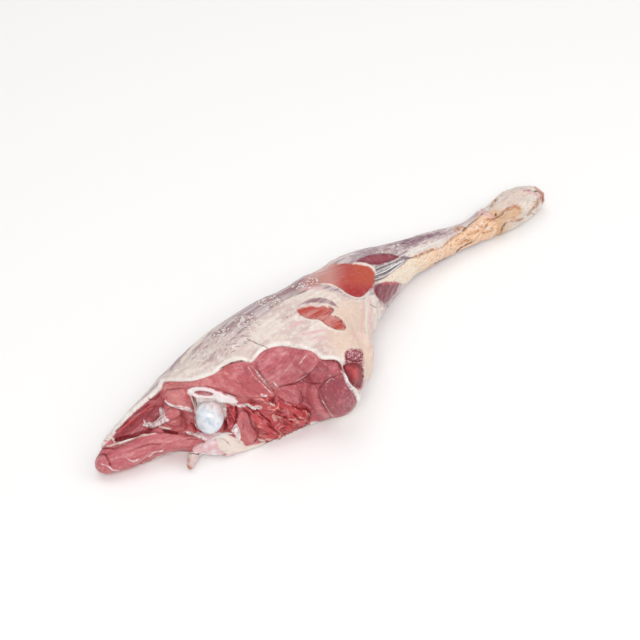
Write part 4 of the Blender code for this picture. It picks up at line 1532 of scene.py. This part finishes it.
def hock_material():
    """Hock: clear skin and sinew drying over bone. Gives wrinkled cream with tan and red patches."""
    tone = bpy.context.scene.lamb_colours
    made = new_material("drying_hock_sinew")
    tree = made.node_tree
    where = in_mm(tree)
    wander = node(tree, "TexNoise", {"Vector": where, "Scale": 1 / 4.0, "Detail": 4, "Roughness": 0.55})
    edge = centred(tree, wander, 3.2)
    patches = node(
        tree, "TexNoise",
        {
            "Vector": node(tree, "Mapping", {"Vector": where, "Scale": (1 / 1.8, 1, 1)}), "Scale": 1 / 7.0,
            "Detail": 5, "Roughness": 0.65, "Distortion": 0.8,
        },
    )
    threads = node(
        tree, "TexNoise",
        {
            "Vector": node(tree, "Mapping", {"Vector": where, "Scale": (1 / 4, 1, 1)}), "Scale": 1 / 1.6,
            "Detail": 3, "Roughness": 0.55, "Distortion": 0.8,
        },
    )
    fine = node(tree, "TexNoise", {"Vector": where, "Scale": 1 / 0.9, "Detail": 2, "Roughness": 0.55})
    body = node(
        tree, "Mix",
        {
            0: node(
                tree, "MapRange",
                {"Value": node(tree, "Math", {0: threads, 1: patches}, **PLUS), 1: 0.86, 2: 1.14}, **EASED,
            ),
            6: tone.hock_grey, 7: tone.fat_white,
        },
        **COLOURS,
    )
    stain = node(
        tree, "Math",
        {
            0: node(tree, "Attribute", out="Fac", attribute_name="tan"),
            1: centred(tree, node(tree, "Math", {0: patches, 1: threads}, **PLUS), 0.9),
        },
        **PLUS,
    )
    body = node(
        tree, "Mix",
        {
            0: node(tree, "MapRange", {"Value": patches, 1: 0.5, 2: 0.7, 4: 0.7}, **EASED), 6: body,
            7: tone.hock_white,
        },
        **COLOURS,
    )
    body = node(
        tree, "Mix",
        {0: node(tree, "MapRange", {"Value": stain, 1: 0.3, 2: 1.3}, **EASED), 6: body, 7: tone.hock_tan},
        **COLOURS,
    )
    flecks = node(
        tree, "Math",
        {
            0: node(tree, "MapRange", {"Value": threads, 1: 0.6, 2: 0.72}, **EASED),
            1: node(tree, "MapRange", {"Value": stain, 1: 0.0, 2: 0.8, 3: 0.15, 4: 0.8}, **EASED),
        },
        **TIMES,
    )
    body = node(tree, "Mix", {0: flecks, 6: body, 7: tone.rust}, **COLOURS)
    blush = node(
        tree, "Math",
        {0: node(tree, "Attribute", out="Fac", attribute_name="blush"), 1: centred(tree, patches, 1.2)},
        **PLUS,
    )
    body = node(
        tree, "Mix",
        {
            0: node(tree, "MapRange", {"Value": blush, 1: 0.25, 2: 1.3, 4: 0.8}, **EASED), 6: body,
            7: tone.hock_red,
        },
        **COLOURS,
    )
    top = {
        "colour": body,
        "rough": node(tree, "MapRange", {"Value": fine, 1: 0.3, 2: 0.7, 3: 0.36, 4: 0.52}, **EASED),
        "relief": node(
            tree, "Math",
            {
                0: node(tree, "Math", {0: threads, 1: 0.9}, **TIMES),
                1: node(tree, "Math", {0: patches, 1: 1.2}, **TIMES),
            },
            **PLUS,
        ),
    }
    top = lay_marks(tree, top, edge, tone)
    finish_material(tree, top, (1.0, 0.6, 0.4), 0.2)
    return made


def floor_material():
    """Matt painted studio board. Gives a plain pale ground with a soft contact shade."""
    made = new_material("matt_studio_board")
    tree = made.node_tree
    where = node(tree, "TexCoord", out="Object")
    grain = node(tree, "TexNoise", {"Vector": where, "Scale": 4.0, "Detail": 2.0})
    shader = node(
        tree, "BsdfPrincipled",
        {
            "Base Color": bpy.context.scene.lamb_colours.floor,
            "Roughness": node(tree, "MapRange", {"Value": grain, 1: 0.3, 2: 0.7, 3: 0.8, 4: 0.9}, **EASED),
            "Specular IOR Level": 0.2,
        },
    )
    node(tree, "OutputMaterial", {0: shader})
    return made


# ---- the meat -----------------------------------------------------------------------------
SLEEVE_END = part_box("meat")[1][0] / MM - 0.5    # where the shank's muscle sleeve ends, mm
BALL_CENTRE = np.array(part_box("femur")[0]) / MM + 14.0    # its radius in from the bone's corner
SEAMS = (
    "main_lobe", "small_lobe", "big_lobe", "low_middle", "rim_muscle", "thigh_slab", "beside_ball",
    "hip_muscle", "hip_lobe", "hip_low", "pocket", "tail",
)


class ShowSide:
    """The drawn tissues carried onto a skin: depths in mm, held back from the far side."""

    def __init__(self, skin):
        self.points = skin.points
        self.places = on_show_plane(skin.points)
        to_eye = SHOW_EYE - skin.points
        to_eye /= np.linalg.norm(to_eye, axis=1)[:, None]
        self.facing = np.sum(skin.normals(6) * to_eye, axis=1)

    def depth(self, name, wrap=0.1):
        """Depth inside an outline, cut off where the skin turns away from the show side."""
        return np.minimum(depth_inside(OUTLINES[name], self.places), (self.facing + wrap) * 60)

    def marks(self):
        """For each kind of mark its depth in mm, and how far all marks raise the skin."""
        depths = {kind: np.full(len(self.places), -12.0) for kind in MARK_KINDS}
        rise = np.zeros(len(self.places))
        for kind, width, height, points in MARKS:
            if width:
                gap, along = distance_to_line(points, self.places)
                depth = width * (0.4 + 0.6 * np.sin(math.pi * along) ** 0.5) - gap
            else:
                depth = np.maximum(depth_inside(points, self.places), -12.0)
            depth = np.minimum(depth, (self.facing + 0.15) * 60)
            depths[kind] = np.maximum(depths[kind], depth)
            rise += height * smooth_step(depth, -0.7, 0.5)
        return depths, rise


def meat_skin(sizes):
    """The meat and the bones inside it as one skin, eased and with a finer grid where it shows."""
    femur = node_copy("femur")
    for vert in femur.verts:
        away = vert.co / MM - Vector(BALL_CENTRE)
        if away.length < 18:
            vert.co = (Vector(BALL_CENTRE) + away * 0.8) * MM
    shank = cut_off(node_copy("shank_bone"), SLEEVE_END + 3, keep_low=True)
    skin = remeshed("leg_skin", (node_copy("meat"), femur, shank), sizes.meat_grain)
    skin.ease(12)
    side = ShowSide(skin)
    swelling = np.maximum.reduce([side.depth(name) for name in ("main_lobe", "big_lobe", "rim_muscle")])
    level = skin.average(skin.points, 24) - skin.points
    skin.points = skin.points + smooth_step(swelling, 1, 6)[:, None] * level
    side = ShowSide(skin)
    skin.refine((side.facing > -0.12)[skin.faces].any(axis=1))
    skin.ease(5)
    side = ShowSide(skin)
    marks, _ = side.marks()
    detail = np.maximum.reduce([depth + 1.0 for depth in marks.values()])
    for name in (
        "torn", "beside_ball", "gland", "tag", "capsule", "ball_cap", "upper_window", "lower_window",
    ):
        detail = np.maximum(detail, side.depth(name) + 1.0)
    seams = np.minimum.reduce([np.abs(side.depth(name)) for name in SEAMS + ("knee_window", "cut")])
    detail = np.maximum(detail, 1.3 - seams)
    skin.refine(((detail > 0) & (side.facing > -0.05))[skin.faces].all(axis=1))
    skin.ease(3)
    return skin


def pillow(depth, height, reach=6.0):
    """A swelling that rises from a tissue's border over about reach mm."""
    return height * (1 - np.exp(-np.maximum(depth, 0) / reach))


def shape_meat(skin, sizes):
    """Raise and crease the skin tissue by tissue. Returns what the material needs to know."""
    side = ShowSide(skin)
    p = skin.points
    depth = {name: side.depth(name) for name in OUTLINES}
    depth["tail"] = side.depth("tail", 0.5)
    depth["cut"] = side.depth("cut", 0.28)
    depth["lip"] = side.depth("lip", 0.3)
    for name in ("heel_sinew", "shin_band", "fat", "rump_plum", "streaked"):
        depth[name] = side.depth(name, 0.0)
    on_table = smooth_step(p[:, 2], 0.5, 4.0)
    flesh = np.maximum(depth["cut"], depth["tail"])
    flesh = np.minimum(flesh, (p[:, 2] - 1.5) * 2)
    tags = np.maximum(depth["tag"], depth["small_tag"])
    flesh = np.minimum(flesh, -tags)
    marks, rise = side.marks()

    rise += layered_lumps(p, 34, 3) * 0.9
    along_leg = p * (0.12, 1, 1)
    outside = smooth_step(-flesh, -1.1, 1.1)
    rise += outside * (sizes.fat_depth / MM) * np.exp(-np.maximum(-flesh, 0) / 60)
    rise += outside * 1.1 * np.exp(-((flesh + 3.0) / 2.2) ** 2) * (0.7 + 0.5 * lumps(p, 9, 5))
    rise += outside * (0.32 * layered_lumps(along_leg, 3.4, 7) + 0.3 * layered_lumps(p, 8, 11))
    for name, (swell, _, _, _) in MUSCLES.items():
        rise += pillow(depth[name], swell)
    seam = np.minimum.reduce([np.abs(depth[name]) for name in SEAMS])
    seam = seam + 0.9 * (1 + lumps(p, 7, 61)) + 9 * smooth_step(flesh, 3.0, 1.0)
    rise -= (sizes.seam_depth / MM) * np.exp(-((seam / 1.7) ** 2))
    for name, height in (
        ("knee_window", -0.4), ("upper_window", -0.8), ("lower_window", -0.8), ("shin_lens", 0.8),
        ("calf_triangle", -0.5), ("gland_core", -1.5),
    ):
        rise += height * smooth_step(depth[name], -1.0, 1.5)
        rise += 0.5 * np.exp(-((depth[name] + 2.0) / 1.4) ** 2)
    rise += pillow(depth["knee_window"], 1.6, 12)
    ring = np.minimum(depth["capsule"], -depth["slot"])
    rise += 2.4 * smooth_step(ring, -0.8, 2.0) - 2.6 * smooth_step(depth["slot"], -0.8, 1.6)
    rise += 3.2 * smooth_step(depth["ball_cap"], -1.0, 3.5)
    rise += pillow(depth["lip"], 1.6, 5)
    rise += pillow(depth["shin_band"], 0.8, 4)
    rise += pillow(depth["heel_sinew"], 1.4, 4)
    ropes = layered_lumps(p * (0.07, 1, 1), 2.4, 21)
    rise += 0.5 * ropes * smooth_step(depth["heel_sinew"], -1, 2)
    rise += 0.9 * np.abs(ropes) * smooth_step(depth["sinew_fan"], -1, 1.5)
    # torn muscle breaks into clods that follow its grain
    grain = grain_vectors(side, depth)
    bent = grain * (0.36, 1, 1) + 2.4 * np.stack([lumps(p, 7, seed) for seed in (31, 32, 33)], axis=1)
    torn = np.maximum(depth["torn"], depth["beside_ball"])
    torn_share = smooth_step(torn, -1.8, 2.2)
    ridges = [1 - np.minimum(np.abs(lumps(bent, size, 35)) * 2.4, 1) for size in (5.4, 2.7)]
    clod = 0.3 * clods(bent, 7.0, 36) + 0.42 * ridges[0] + 0.28 * ridges[1]
    rise += (sizes.torn_depth / MM) * torn_share * (clod - 0.5 + 0.9 * lumps(p, 10, 41))
    gland = smooth_step(depth["gland"], -0.5, 2) * smooth_step(-depth["gland_core"], -1, 1)
    rise += 2.0 * gland * (clods(p, 3.6, 51) - 0.5)
    rise += pillow(depth["gland_core"], 1.8, 3)
    rise += 0.9 * smooth_step(depth["hip_muscle"], -1, 2) * layered_lumps(p, 5, 53)
    rise += 0.8 * smooth_step(tags, -1, 2) * layered_lumps(p, 4, 54)
    rise += 0.5 * smooth_step(depth["pocket"], -1, 2) * layered_lumps(p * (0.4, 1, 1), 4, 57)
    rise += 0.3 * smooth_step(flesh, 0, 2) * layered_lumps(grain * (0.4, 1, 0.8), 2.6, 59)
    # everything settles on the table and against the hock
    rise *= on_table
    rise = np.where(p[:, 0] > SLEEVE_END - 8, rise * smooth_step(SLEEVE_END + 2 - p[:, 0], 0, 9), rise)
    skin.points = p + skin.normals(3) * rise[:, None]
    skin.points[:, 2] = np.maximum(skin.points[:, 2], 0.05)
    depth.update(flesh=flesh, seam=seam, torn=torn, clod=clod, tags=tags)
    return side, depth, marks


def grain_vectors(side, depth):
    """Coordinates in mm that run along, across and into the fibres of each muscle."""
    p = side.points
    across, up = side.places.T
    angle = np.radians(np.interp(across, (-130, -100, -80, 0), (45, 25, 6, 8)))
    best = np.zeros(len(p))
    for name, (_, degrees, _, _) in MUSCLES.items():
        deeper = depth[name] > best
        angle[deeper] = math.radians(degrees)
        best[deeper] = depth[name][deeper]
    along = across * np.cos(angle) + up * np.sin(angle)
    beside = -across * np.sin(angle) + up * np.cos(angle)
    return np.stack((along, beside, p @ BACK), axis=1)


def paint_meat(mesh, skin, side, depth, marks):
    """Store what the material reads at each point of the skin."""
    p = side.points
    flesh = depth["flesh"]
    weight = np.full(len(p), 0.02)
    tone, warm = weight * 0.5, weight * 0.4
    for name, (_, _, pale, heat) in MUSCLES.items():
        share = smooth_step(depth[name], -2.0, 1.5)
        weight = weight + share
        tone = tone + share * pale
        warm = warm + share * heat
    across, up = side.places.T
    show = smooth_step(side.facing, -0.1, 0.25)
    thick = smooth_step(depth["fat"], -5, 5) * (0.72 + 0.28 * smooth_step(across, -75, -40))
    shown = 0.02 + thick + 0.3 * smooth_step(depth["shin_band"], -3, 3)
    shown = shown + 0.7 * smooth_step(depth["shin_cream"], -1.5, 2.0)
    cover = (0.42 + 0.25 * layered_lumps(p, 60, 61)) * (1 - show) + shown * show
    cover = np.maximum(cover, 1.1 * smooth_step(-np.abs(flesh + 1.6), -2.6, -0.4))
    cover = np.maximum(cover, 1.2 * smooth_step(depth["tags"], -1.5, 1.0))
    hidden = smooth_step(side.facing, 0.25, -0.1)
    cover = np.maximum(cover, hidden * smooth_step(p[:, 0], SLEEVE_END - 34, SLEEVE_END - 4))
    bare = np.maximum(depth["window_arc"], depth["rump_plum"])
    bare = np.maximum(bare, depth["sinew_fan"])
    cover = cover - 0.9 * smooth_step(bare, -2, 2) * show
    # painted shadow round the rows of fat crumbs
    rows = [distance_to_line(row, side.places)[0] for row in CRUMB_ROWS]
    crumb_shadow = smooth_step(-np.minimum.reduce(rows), -4.0, -1.0) * show
    plum = np.maximum(depth["shin_lens"], depth["calf_triangle"])
    small = np.maximum(depth["upper_window"], depth["lower_window"])
    capsule = np.maximum(np.minimum(depth["capsule"], -depth["slot"]), depth["lip"])
    values = {
        "cover": cover,
        "tone": tone / weight,
        "warm": warm / weight,
        "flesh": flesh,
        "seam": depth["seam"],
        "torn": depth["torn"],
        "clod": depth["clod"],
        "window": np.maximum(depth["knee_window"], small),
        "small_window": small,
        "veil": 1.15 * smooth_step(across, 34, -6) * smooth_step(up, 14, 24),
        "depth": smooth_step(up, 36, 22) * smooth_step(up, 12, 18),
        "plum": plum,
        "plum_light": smooth_step(up, 31, 35) * (up < 40) + smooth_step(depth["shin_lens"], 1, 4) * 0.5,
        "glow": smooth_step(across, 22, 38) * smooth_step(up, 28, 38) * (depth["knee_window"] > -4),
        "rim": np.exp(-(((flesh + 1.5) / 1.3) ** 2)) * show,
        "crumb_shadow": crumb_shadow,
        "gland": depth["gland"],
        "gland_core": depth["gland_core"],
        "fan_ground": depth["sinew_fan"],
        "core": depth["shin_core"],
        "rump": np.maximum(depth["rump_plum"], depth["window_arc"]),
        "streaked": depth["streaked"],
        "peach": smooth_step(depth["peach"], -8, 8),
        "sinew": depth["heel_sinew"],
        "dry": smooth_step(p[:, 0], 70, 175),
        "capsule": capsule,
        "lip": depth["lip"],
        "ball_cap": depth["ball_cap"],
        "hollow": 0.6 * skin.hollow(8) + 0.4 * skin.hollow(40),
        # where hollows take painted shade: on the cut
        "cut_shade_share": smooth_step(flesh, -1, 1.5),
    }
    for name, numbers in (values | marks).items():
        store(mesh, name, numbers)
    store_vector(mesh, "grain", grain_vectors(side, depth))


BUILT = {}


class LAMB_OT_meat(bpy.types.Operator):
    """Shape the meat with its fat cover, windows and cut muscles"""

    bl_idname = "lamb.meat"
    bl_label = "Meat and fat"

    def execute(self, context):
        sizes = context.scene.lamb_sizes
        skin = meat_skin(sizes)
        shaped = shape_meat(skin, sizes)
        piece = add_mesh("leg_meat", skin.points, skin.faces.tolist(), raw_leg_material())
        paint_meat(piece.data, skin, *shaped)
        place(piece, "meat", "meat")
        BUILT["board"] = Board(skin)
        return {"FINISHED"}


class LAMB_OT_hip_ball(bpy.types.Operator):
    """Model the hip ball"""

    bl_idname = "lamb.hip_ball"
    bl_label = "Hip ball"

    def execute(self, context):
        sizes = context.scene.lamb_sizes
        ball = bmesh.new()
        bmesh.ops.create_icosphere(ball, subdivisions=6, radius=1.0)
        unit = np.array([vert.co for vert in ball.verts])
        faces = [[vert.index for vert in face.verts] for face in ball.faces]
        ball.free()
        unit /= np.linalg.norm(unit, axis=1)[:, None]
        frame_axes = np.stack((RIGHT, UP, BACK))
        stretch = np.array((0.96, 1.18, 1.0)) * sizes.ball_radius / MM
        local = unit @ frame_axes.T
        worn = lumps(unit * 10, 5, 73) * smooth_step(local[:, 1], 0.2, 0.8)
        bulge = 1 + 0.014 * lumps(unit * 10, 9, 71) + 0.03 * worn
        points = (1.6, 1.4, 0.0) @ frame_axes + (local * stretch * bulge[:, None]) @ frame_axes
        points = BALL_CENTRE + points
        piece = add_mesh("hip_ball", points, faces, cartilage_material())
        high = smooth_step(local[:, 1] + 0.5 * local[:, 0], 0.1, 0.8)
        streak = lumps(local * (5, 1.5, 5), 1.0, 75)
        store(piece.data, "shade", np.clip(high * (0.6 + 0.5 * streak), 0, 1))
        place(piece, "femur", "femur")
        return {"FINISHED"}


class LAMB_OT_hock(bpy.types.Operator):
    """Model the hock knuckle in its drying skin"""

    bl_idname = "lamb.hock"
    bl_label = "Hock"

    def execute(self, context):
        sizes = context.scene.lamb_sizes
        bone = cut_off(node_copy("shank_bone"), SLEEVE_END - 10, keep_low=False)
        skin = remeshed("hock_skin", (bone,), sizes.hock_grain)
        skin.ease(24)
        side = ShowSide(skin)
        p = skin.points
        end = p[:, 0].max()
        marks, drawn = side.marks()
        out = smooth_step(p[:, 0], SLEEVE_END - 2, SLEEVE_END + 6)
        rise = drawn + 0.9 * layered_lumps(p * (0.35, 1, 1), 5, 81, 4)
        rise += 1.1 * layered_lumps(p, 11, 83, 2)
        wrinkles = layered_lumps(p * (0.25, 1, 1) + 3 * lumps(p, 12, 87)[:, None], 2.6, 85, 2)
        rise -= 0.9 * smooth_step(0.18 - np.abs(wrinkles), 0.0, 0.18)
        rise = 0.2 + rise * out * smooth_step(p[:, 2], 0.3, 4)
        skin.points = p + skin.normals(3) * rise[:, None]
        skin.points[:, 2] = np.maximum(skin.points[:, 2], 0.05)
        piece = add_mesh("hock_knuckle", skin.points, skin.faces.tolist(), hock_material())
        tendon = smooth_step(p[:, 0], SLEEVE_END + 22, SLEEVE_END - 2) * smooth_step(p[:, 1], 42, 28) * 0.8
        off_line = distance_to_line(((150, 90), (164, 92), (180, 100)), side.places)[0]
        middle = 0.6 * smooth_step(off_line, 9, 2)
        store(piece.data, "tan", np.maximum(tendon, middle * (side.facing > 0)))
        tip = smooth_step(p[:, 0], end - 14, end - 2)
        store(piece.data, "blush", np.maximum(1.4 * tip, 0.6 * smooth_step(p[:, 2], 29, 34)))
        for kind in MARK_KINDS:
            store(piece.data, kind, marks[kind])
        place(piece, "shank_bone", "shank_bone")
        return {"FINISHED"}


class LAMB_OT_capsule(bpy.types.Operator):
    """Lay the white joint membranes and ligament strands round the ball"""

    bl_idname = "lamb.capsule"
    bl_label = "Joint membranes"

    def execute(self, context):
        tone = context.scene.lamb_colours
        material = strand_material("white_joint_membrane", tone.fat_pink, tone.membrane, 0.34, 0.3, 0.25)
        board = BUILT["board"]
        strands = Strands()
        for places, width, thick, shade in (
            (((-119, -68), (-117, -74), (-115, -80), (-114, -86)), 1.6, 1.0, 0.4),
            (((-110, -71), (-108, -76), (-107, -82)), 1.6, 0.9, 0.7),
            (((-96, -72), (-92, -77), (-89, -84), (-87, -92)), 1.8, 1.0, 0.3),
            (((-103, -112), (-95, -107), (-86, -104), (-80, -104)), 2.4, 1.4, 0.6),
        ):
            path, normals = board.path(places, 0.3)
            strands.add(path, normals, width, thick, shade)
        place(strands.build("capsule_strands", material), "meat")
        return {"FINISHED"}


class LAMB_OT_torn_shreds(bpy.types.Operator):
    """Set loose shreds of muscle into the torn part of the cut"""

    bl_idname = "lamb.torn_shreds"
    bl_label = "Torn shreds"

    def execute(self, context):
        sizes, tone = context.scene.lamb_sizes, context.scene.lamb_colours
        material = strand_material(
            "frayed_muscle_shred", tone.muscle_shade, tone.salmon_highlight, 0.32, 1.0, 0.15
        )
        board, rng = BUILT["board"], np.random.default_rng(17)
        egg = bmesh.new()
        bmesh.ops.create_icosphere(egg, subdivisions=3, radius=1.0)
        unit = np.array([vert.co for vert in egg.verts])
        faces = np.array([[vert.index for vert in face.verts] for face in egg.faces])
        egg.free()
        line = rounded(OUTLINES["torn"])
        points, triangles, shades = [], [], []
        while len(points) < 16:
            spot = rng.uniform(line.min(0), line.max(0))
            if depth_inside(OUTLINES["torn"], spot[None])[0] < 1.0:
                continue
            found = board.hit(*spot)
            if found is None:
                continue
            point, normal = found
            angle = math.radians(rng.normal(-40, 28))
            run = RIGHT * math.cos(angle) + UP * math.sin(angle)
            run = run - normal * (run @ normal)
            run /= np.linalg.norm(run)
            half = np.array((0.5, 0.5 * rng.uniform(0.2, 0.4), 0.12))
            half = half * sizes.shred_size / MM * rng.uniform(0.5, 1.2)
            shape = unit * (1 + 0.7 * layered_lumps(unit * 10 + rng.uniform(0, 900, 3), 8, 91, 2))[:, None]
            axes = np.stack((run, np.cross(normal, run), normal))
            shred = point - normal * half[2] * 0.45 + (shape * half) @ axes
            shred[:, 2] = np.maximum(shred[:, 2], 0.05)
            points.append(shred)
            triangles.append(faces + len(unit) * (len(points) - 1))
            # each shred a random tone between shade red and salmon highlight, painted lighter on its outer
            # side and darker beneath
            shades.append(np.full(len(unit), rng.uniform(0.3, 0.65)) + 0.25 * unit[:, 2])
        faces = np.concatenate(triangles).tolist()
        piece = add_mesh("torn_shreds", np.concatenate(points), faces, material)
        store(piece.data, "shade", np.concatenate(shades))
        place(piece, "meat", "meat")
        return {"FINISHED"}


class LAMB_OT_fat_crumbs(bpy.types.Operator):
    """Scatter crumbs of fat on the membrane over the rump"""

    bl_idname = "lamb.fat_crumbs"
    bl_label = "Fat crumbs"

    def execute(self, context):
        sizes, tone = context.scene.lamb_sizes, context.scene.lamb_colours
        material = strand_material("crumbly_fat", tone.fat_pink, tone.fat_white, 0.5, 0.3, 0.2)
        board, rng = BUILT["board"], np.random.default_rng(29)
        strands = Strands()
        for row in CRUMB_ROWS:
            line = rounded(row, closed=False, pieces=8)
            for _ in range(int(np.linalg.norm(line[-1] - line[0]) * 1.8)):
                at = rng.uniform(0, len(line) - 1)
                run = line[min(int(at) + 1, len(line) - 1)] - line[int(at)]
                spot = line[int(at)] + run * (at % 1) + rng.normal(0, 1.9, 2)
                angle = math.atan2(run[1], run[0]) + rng.normal(0, 0.35)
                reach = sizes.crumb_size / MM * rng.uniform(0.4, 1.3)
                half = np.array((math.cos(angle), math.sin(angle))) * reach / 2
                path, normals = board.path((spot - half, spot, spot + half), 0.1, 2)
                width = rng.uniform(0.8, 1.7)
                strands.add(path[:5], normals[:5], width, 1.0, rng.uniform(0.0, 1.0), sides=7)
        place(strands.build("fat_crumbs", material), "meat")
        return {"FINISHED"}


class LAMB_OT_shank_sinews(bpy.types.Operator):
    """Lay the thin sinews of the shank"""

    bl_idname = "lamb.shank_sinews"
    bl_label = "Shank sinews"

    def execute(self, context):
        tone = context.scene.lamb_colours
        material = strand_material("taut_shank_sinew", tone.skin_grey, tone.membrane, 0.32, 0.2, 0.2)
        board = BUILT["board"]
        strands = Strands()
        for places, width, thick, shade in (
            (((50, 37), (60, 41), (70, 48), (76, 53)), 1.6, 0.9, 0.7),
            (((50, 41), (60, 45), (70, 51), (78, 55)), 1.4, 0.8, 0.9),
            (((50, 44), (60, 48), (70, 53)), 1.2, 0.8, 0.5),
            (((72, 58), (90, 64), (104, 70), (116, 76)), 1.6, 0.9, 0.8),
        ):
            path, normals = board.path(places, 0.2)
            strands.add(path, normals, width, thick, shade)
        place(strands.build("shank_sinews", material), "meat")
        return {"FINISHED"}


class LAMB_OT_studio(bpy.types.Operator):
    """Set the pale floor, the soft lights and the camera"""

    bl_idname = "lamb.studio"
    bl_label = "Studio"

    def execute(self, context):
        scene = context.scene
        half = 6000.0
        floor = add_mesh(
            "studio_floor",
            [(-half, -half, 0), (half, -half, 0), (half, half, 0), (-half, half, 0)],
            [(0, 1, 2, 3)],
            floor_material(),
        )
        world = bpy.data.worlds.new("studio_air")
        world.use_nodes = True
        air = world.node_tree.nodes["Background"]
        air.inputs[0].default_value = (1, 1, 1, 1)
        air.inputs[1].default_value = 0.5
        scene.world = world
        zero = Vector(SHOW_ZERO) * MM
        for name, place_at, size, power in (
            ("key_box", (-0.9, -1.1, 1.9), 1.3, 21.0),
            ("fill_box", (1.2, -0.9, 1.4), 1.5, 8.0),
            ("top_box", (0.1, 0.6, 2.0), 1.6, 9.5),
        ):
            lamp = bpy.data.lights.new(name, "AREA")
            lamp.shape = "DISK"
            lamp.size = size
            lamp.energy = power
            held = bpy.data.objects.new(name, lamp)
            held.location = zero + Vector(place_at)
            held.rotation_mode = "QUATERNION"
            held.rotation_quaternion = Vector(place_at).to_track_quat("Z", "Y")
            scene.collection.objects.link(held)
        lens = bpy.data.cameras.new("camera")
        lens.lens = 92
        lens.sensor_width = 36
        lens.clip_start, lens.clip_end = 0.05, 50
        camera = bpy.data.objects.new("camera", lens)
        camera.location = Vector(SHOW_EYE) * MM
        camera.rotation_mode = "QUATERNION"
        camera.rotation_quaternion = Vector(BACK).to_track_quat("Z", "Y")
        scene.collection.objects.link(camera)
        scene.camera = camera
        scene.view_settings.view_transform = "Standard"
        return {"FINISHED"}


OPERATORS = (
    LAMB_OT_meat,
    LAMB_OT_hip_ball,
    LAMB_OT_hock,
    LAMB_OT_capsule,
    LAMB_OT_torn_shreds,
    LAMB_OT_fat_crumbs,
    LAMB_OT_shank_sinews,
    LAMB_OT_studio,
)


class LAMB_PT_panel(bpy.types.Panel):
    """Lists the pieces of the leg"""

    bl_idname = "LAMB_PT_panel"
    bl_label = "Raw leg of lamb"
    bl_space_type = "VIEW_3D"
    bl_region_type = "UI"
    bl_category = "Lamb"

    def draw(self, context):
        for operator in OPERATORS:
            self.layout.operator(operator.bl_idname)
        for group in (context.scene.lamb_sizes, context.scene.lamb_colours):
            for name in group.__annotations__:
                self.layout.prop(group, name)


CLASSES = (LambSizes, LambColours, *OPERATORS, LAMB_PT_panel)


def register():
    for item in CLASSES:
        bpy.utils.register_class(item)
    bpy.types.Scene.lamb_sizes = bpy.props.PointerProperty(type=LambSizes)
    bpy.types.Scene.lamb_colours = bpy.props.PointerProperty(type=LambColours)


def unregister():
    del bpy.types.Scene.lamb_colours
    del bpy.types.Scene.lamb_sizes
    for item in reversed(CLASSES):
        bpy.utils.unregister_class(item)


def main():
    """Build every piece in order."""
    register()
    for operator in OPERATORS:
        group, action = operator.bl_idname.split(".")
        getattr(getattr(bpy.ops, group), action)()


if __name__ == "__main__":
    main()
